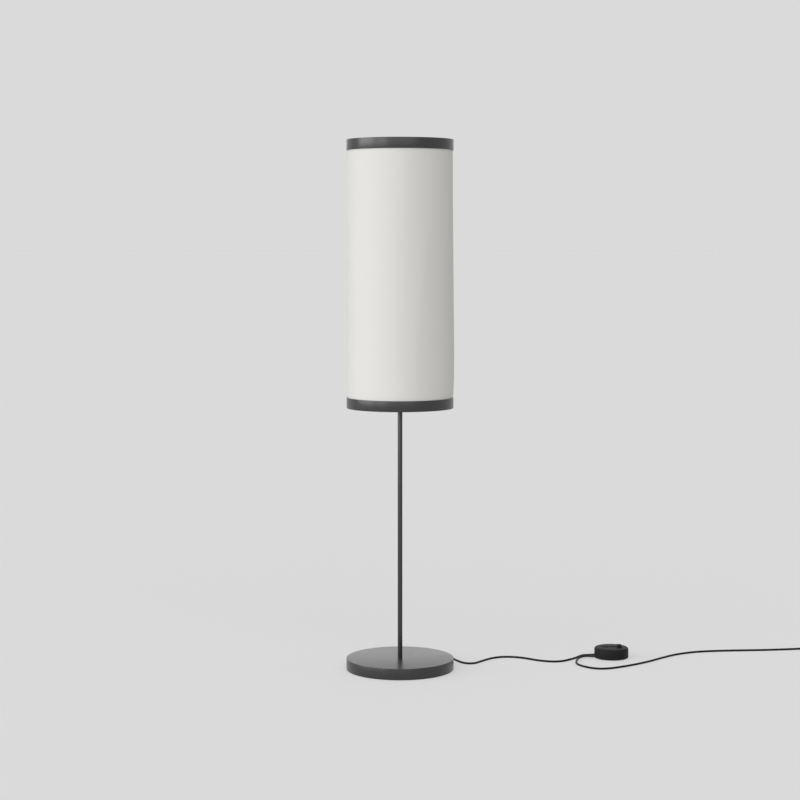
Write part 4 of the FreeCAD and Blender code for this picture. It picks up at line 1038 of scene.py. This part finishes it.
@dataclass
class Leads:
    """Both free leads, the put-away coil in the second, and the strap round the coil."""

    across: float = 5.0 * MM
    coil_x: float = 1042.0          # where the half turns start, in millimetres
    coil_first: float = 32.0        # radius of the first half turn, in millimetres
    coil_step: float = 2.75         # how much each half turn's radius differs from the last
    inward: int = 4                 # half turns of the lower layer before the climb
    outward: int = 5                # half turns of the upper layer
    climb: float = 5.45             # from the lower layer to the upper one, in millimetres
    points_in_half: int = 6
    coil_middle: tuple[float, float] = (1042.0 * MM, 183.5 * MM)
    strap_angle: float = -35.0      # where on the coil the strap is
    strap_out: float = 26.8 * MM
    strap_size: Place = (20.4 * MM, 10.0 * MM, 0.7 * MM)

    def build(self, shop: Workshop) -> None:
        lamp = self.lead(shop, "LampLead", LAMP_ROUTE, "lamp_lead")
        self.metres(LAMP_ROUTE[0])
        mains = self.lead(shop, "MainsLead", (*MAINS_ROUTE, *self.coil()),
                          "mains_lead", "mains_coil")
        self.strap(shop)
        self.metres(MAINS_ROUTE[0])

    def metres(self, spot: Place) -> Place:
        """Return a place of a route in metres."""
        return tuple(part * MM for part in spot)

    def coil(self) -> list[Place]:
        """Return the points of the coil: half circles that wind in, climb, and wind out."""
        last = MAINS_ROUTE[-1]
        spot, level, radius, side = last[1], last[2], self.coil_first, -1
        points = []
        half_angle = math.pi / self.points_in_half / 2
        for half in range(self.inward + 1 + self.outward):
            rise = self.climb if half == self.inward else 0.0
            centre = spot + side * radius
            wide = radius / math.cos(half_angle)
            for step in range(self.points_in_half):
                turn = half_angle * (2 * step + 1)
                points.append((self.coil_x - side * wide * math.sin(turn),
                               centre - side * wide * math.cos(turn),
                               level + rise * (1 - math.cos(turn)) / 2))
            level += rise
            spot, side = centre + side * radius, -side
            radius += -self.coil_step if half < self.inward else self.coil_step
        return [*points, (self.coil_x, spot, level), (self.coil_x + 6.0, spot, level)]

    def lead(self, shop: Workshop, name: str, route: Sequence[Place],
             *nodes: str) -> bpy.types.Object:
        """Make a round lead along a route.

        Args:
            shop: gives the finish.
            name: the piece's name.
            route: its points in millimetres.
            nodes: the CAD nodes that it replaces.

        Returns:
            The curve object.
        """
        curve = bpy.data.curves.new(name, "CURVE")
        curve.dimensions = "3D"
        spline = curve.splines.new("NURBS")
        spline.points.add(len(route) - 1)
        for point, spot in zip(spline.points, route):
            point.co = (*self.metres(spot), 1.0)
        spline.order_u = 3
        spline.use_endpoint_u = True
        spline.resolution_u = 6
        curve.bevel_depth = self.across / 2
        curve.bevel_resolution = 5
        curve.use_fill_caps = True
        piece = bpy.data.objects.new(name, curve)
        bpy.context.scene.collection.objects.link(piece)
        shop.dress(piece, Slot.FLEX, Body.STAND, nodes)
        return piece

    def strap(self, shop: Workshop) -> None:
        """Make the flat strap that holds the coil's turns together."""
        low, high = Span.of("coil_tie").low.z, Span.of("coil_tie").high.z
        long, wide, thick = self.strap_size
        shape = block((long, wide, high - low - 2 * thick))
        ends = [face for face in shape.faces if abs(face.normal.y) > 0.9]
        bmesh.ops.delete(shape, geom=ends, context="FACES_ONLY")
        rims = [edge for edge in shape.edges if not edge.is_boundary]
        bevel(shape, rims, 3.4 * MM, 6)
        bmesh.ops.solidify(shape, geom=shape.faces[:], thickness=-thick)
        tidy(shape)
        turn = math.radians(self.strap_angle)
        spot = (self.coil_middle[0] + self.strap_out * math.cos(turn),
                self.coil_middle[1] + self.strap_out * math.sin(turn), (low + high) / 2)
        moved(shape, spot, "Z", self.strap_angle)
        shop.piece("CoilStrap", shape, Slot.RUBBER, Body.STAND, "coil_tie")


@dataclass
class Plug:
    """The flat two-pin plug: a waisted moulding with finger grips, its sleeve and pins."""

    edge: float = 2.6 * MM
    corner: float = 4.0 * MM
    grip: float = 3.2 * MM          # from one finger groove to the next
    grip_start: float = 10.0 * MM
    rib: Profile = ((0.0, 0.0), (-0.5, 0.4), (-0.45, 1.3), (0.1, 1.7))
    # the outline's right half, as (share of the length, share of the half width)
    outline: tuple[tuple[float, float], ...] = ((0.0, 0.42), (0.28, 0.5), (0.62, 1.0), (1.0, 1.0))

    def build(self, shop: Workshop) -> None:
        """Make the body, the sleeve and the pins."""
        span = Span.of("plug_body")
        long, half = span.high.x - span.low.x, (span.high.y - span.low.y) / 2
        thick = span.high.z - span.low.z
        shape = bmesh.new()
        right = [(x * long, y * half) for x, y in self.outline]
        corners = right + [(x, -y) for x, y in reversed(right)]
        face = bmesh.ops.contextual_create(
            shape, geom=[shape.verts.new((x, y, -thick / 2)) for x, y in corners])["faces"]
        grown = bmesh.ops.extrude_face_region(shape, geom=face)["geom"]
        upper = [item for item in grown if isinstance(item, bmesh.types.BMVert)]
        bmesh.ops.translate(shape, vec=(0, 0, thick), verts=upper)
        tidy(shape)
        corners = [edge for edge in upright(shape) if edge.verts[0].co.x < long - TOUCH]
        bevel(shape, corners, self.corner, 5)
        rims = [edge for edge in shape.edges
                if abs(edge.verts[0].co.z - edge.verts[1].co.z) < TOUCH
                and min(vert.co.x for vert in edge.verts) < long - TOUCH]
        bevel(shape, rims, self.edge, 5)
        grips = []
        for step in range(4):
            for side in (-1, 1):
                bar = block((1.0 * MM, half, 0.9 * MM), 0.2 * MM, 1)
                along = self.grip_start + self.grip * step
                grips.append(moved(bar, (along, 0.0, side * thick / 2)))
        shape = combine(shape, Cut.TAKE, together(*grips))
        spot = (span.low.x, span.middle.y, span.middle.z)
        shop.piece("PlugBody", moved(shape, spot), Slot.BLACK, Body.STAND, "plug_body")
        self.sleeve(shop, spot)
        self.pins(shop)

    def sleeve(self, shop: Workshop, spot: Place) -> None:
        """Make the ribbed sleeve behind the plug."""
        span = Span.of("plug_relief")
        long = span.high.x - span.low.x
        profile = [(0.0, 0.0), (2.9 * MM, 0.0), (3.1 * MM, 0.3 * MM),
                   *ribs(6, 2.4 * MM, 3.2, 3.2 * MM, 0.23, self.rib),
                   (4.8 * MM, long), (0.0, long)]
        sleeve = lathe(profile, steps=40, solid=True)
        moved(sleeve, (span.low.x, spot[1], spot[2]), "Y", 90)
        shop.piece("PlugSleeve", sleeve, Slot.RUBBER, Body.STAND, "plug_relief")

    def pins(self, shop: Workshop) -> None:
        """Make the two pins: insulated collars and bright round tips."""
        span = Span.of("plug_pins")
        long, radius = span.high.x - span.low.x, (span.high.z - span.low.z) / 2
        made = []
        for aside in (span.low.y + radius, span.high.y - radius):
            slim = radius - 0.12 * MM
            pin = lathe([(0.0, 0.0), (radius, 0.0), (radius, 9.0 * MM), (slim, 9.2 * MM),
                         (slim, long - 1.5 * MM), (0.0, long)],
                        {4: 1.0 * MM}, steps=40, solid=True)
            made.append(moved(pin, (span.low.x, aside, span.middle.z), "Y", 90))
        shop.piece("PlugPins", together(*made), Slot.NICKEL, Body.STAND, "plug_pins")


# ---------------------------------------------------------------- studio


@dataclass
class Studio:
    """The pale floor and surroundings, the soft lamps and the camera."""

    pale: float = 0.702             # the grey of the background
    surround: float = 0.33          # light from all round
    floor_light: float = 0.42       # share of the floor's own glow to the camera
    floor_glow: float = 1.00
    floor_colour: float = 0.78
    floor_half: float = 400.0       # half the floor's side, far past the horizon's edge
    lens: float = 86.558            # millimetres, on a sensor 36 mm wide
    shift: float = -0.1
    eye: Place = (-0.0001, -4.4877, 0.9919)
    tilt: float = 87.81             # degrees up from straight down

    def build(self) -> None:
        """Make all of it."""
        self.floor()
        self.world()
        self.lamp("KeyLamp", azimuth=-78.0, elevation=4.0, wide=40.0, strength=1.38)
        self.lamp("SideLamp", azimuth=-40.0, elevation=4.0, wide=24.0, strength=0.30)
        self.lamp("FrontLamp", azimuth=-15.0, elevation=22.0, wide=100.0, strength=1.52)
        self.lamp("BackLamp", azimuth=180.0, elevation=18.0, wide=56.0, strength=0.25)
        self.camera()
        bpy.context.scene.view_settings.view_transform = "Standard"

    def floor(self) -> None:
        """Lay the floor: matt and pale, with some of its brightness for the camera only."""
        shape = bmesh.new()
        bmesh.ops.create_grid(shape, x_segments=4, y_segments=4, size=self.floor_half)
        mesh = mesh_of(shape)
        plane = bpy.data.objects.new("Floor", mesh)
        bpy.context.scene.collection.objects.link(plane)
        board = Board(bpy.data.materials.new("floor"))
        spot = board.place()
        cloud = board.noise(spot, 3.0, 2.0)
        grey = self.floor_colour
        colour = board.tint(cloud, (grey, grey, grey), (grey * 1.004,) * 3)
        matt = board.node("ShaderNodeBsdfDiffuse", {}, {"Color": colour})
        glow = {"Color": (self.floor_glow,) * 3 + (1.0,), "Strength": 1.0}
        glow = board.node("ShaderNodeEmission", {}, glow)
        share = self.seen(board) * self.floor_light
        board.close(board.node("ShaderNodeMixShader", {}, {0: share, 1: matt, 2: glow}))
        mesh.materials.append(board.holder)

    def world(self) -> None:
        """Light the scene evenly, and show the pale background to the eye, in gloss and glass."""
        world = bpy.data.worlds.new("studio")
        bpy.context.scene.world = world
        board = Board(world)
        power = self.seen(board) * (self.pale - self.surround) + self.surround
        white = {"Color": (1.0, 1.0, 1.0, 1.0), "Strength": power}
        board.close(board.node("ShaderNodeBackground", {}, white), "ShaderNodeOutputWorld")

    def seen(self, board: Board) -> Wire:
        """Return 1 for rays that the eye sees by, straight, in gloss or through glass."""
        straight = board.node("ShaderNodeLightPath", {}, {}, "Is Camera Ray")
        gloss = board.node("ShaderNodeLightPath", {}, {}, "Is Glossy Ray")
        glass = board.node("ShaderNodeLightPath", {}, {}, "Is Transmission Ray")
        return straight.larger(gloss).larger(glass)

    def lamp(self, name: str, azimuth: float, elevation: float, wide: float,
             strength: float) -> None:
        """Hang a far soft lamp.

        Args:
            name: what it is called.
            azimuth: degrees to the right of the front that its light comes from.
            elevation: degrees above the floor that its light comes from.
            wide: how many degrees of the room it fills.
            strength: its light on a surface that faces it.
        """
        data = bpy.data.lights.new(name, "SUN")
        data.energy = strength
        data.angle = math.radians(wide)
        item = bpy.data.objects.new(name, data)
        item.rotation_euler = (math.radians(90.0 - elevation), 0.0, math.radians(azimuth))
        bpy.context.scene.collection.objects.link(item)

    def camera(self) -> None:
        """Set the camera as the photograph's stood."""
        data = bpy.data.cameras.new("Camera")
        data.lens = self.lens
        data.sensor_width = 36.0
        data.shift_y = self.shift
        data.clip_end = 2000.0
        item = bpy.data.objects.new("Camera", data)
        item.location = self.eye
        item.rotation_euler = (math.radians(self.tilt), 0.0, 0.0)
        bpy.context.scene.collection.objects.link(item)
        bpy.context.scene.camera = item


def main() -> None:
    """Build every sub-assembly in order."""
    logging.basicConfig(level=logging.INFO, format="%(name)s %(message)s")
    shop = Workshop()
    shop.dress_rest()
    Studio().build()
    BaseDisc().build(shop)
    Stem().build(shop)
    Shade().build(shop)
    Finial().build(shop)
    Light("lower", Body.LOWER).build(shop)
    Light("upper", Body.UPPER).build(shop)
    Dimmer().build(shop)
    Plug().build(shop)
    Leads().build(shop)
    log.info("%d pieces", len(shop.pieces))


if __name__ == "__main__":
    main()
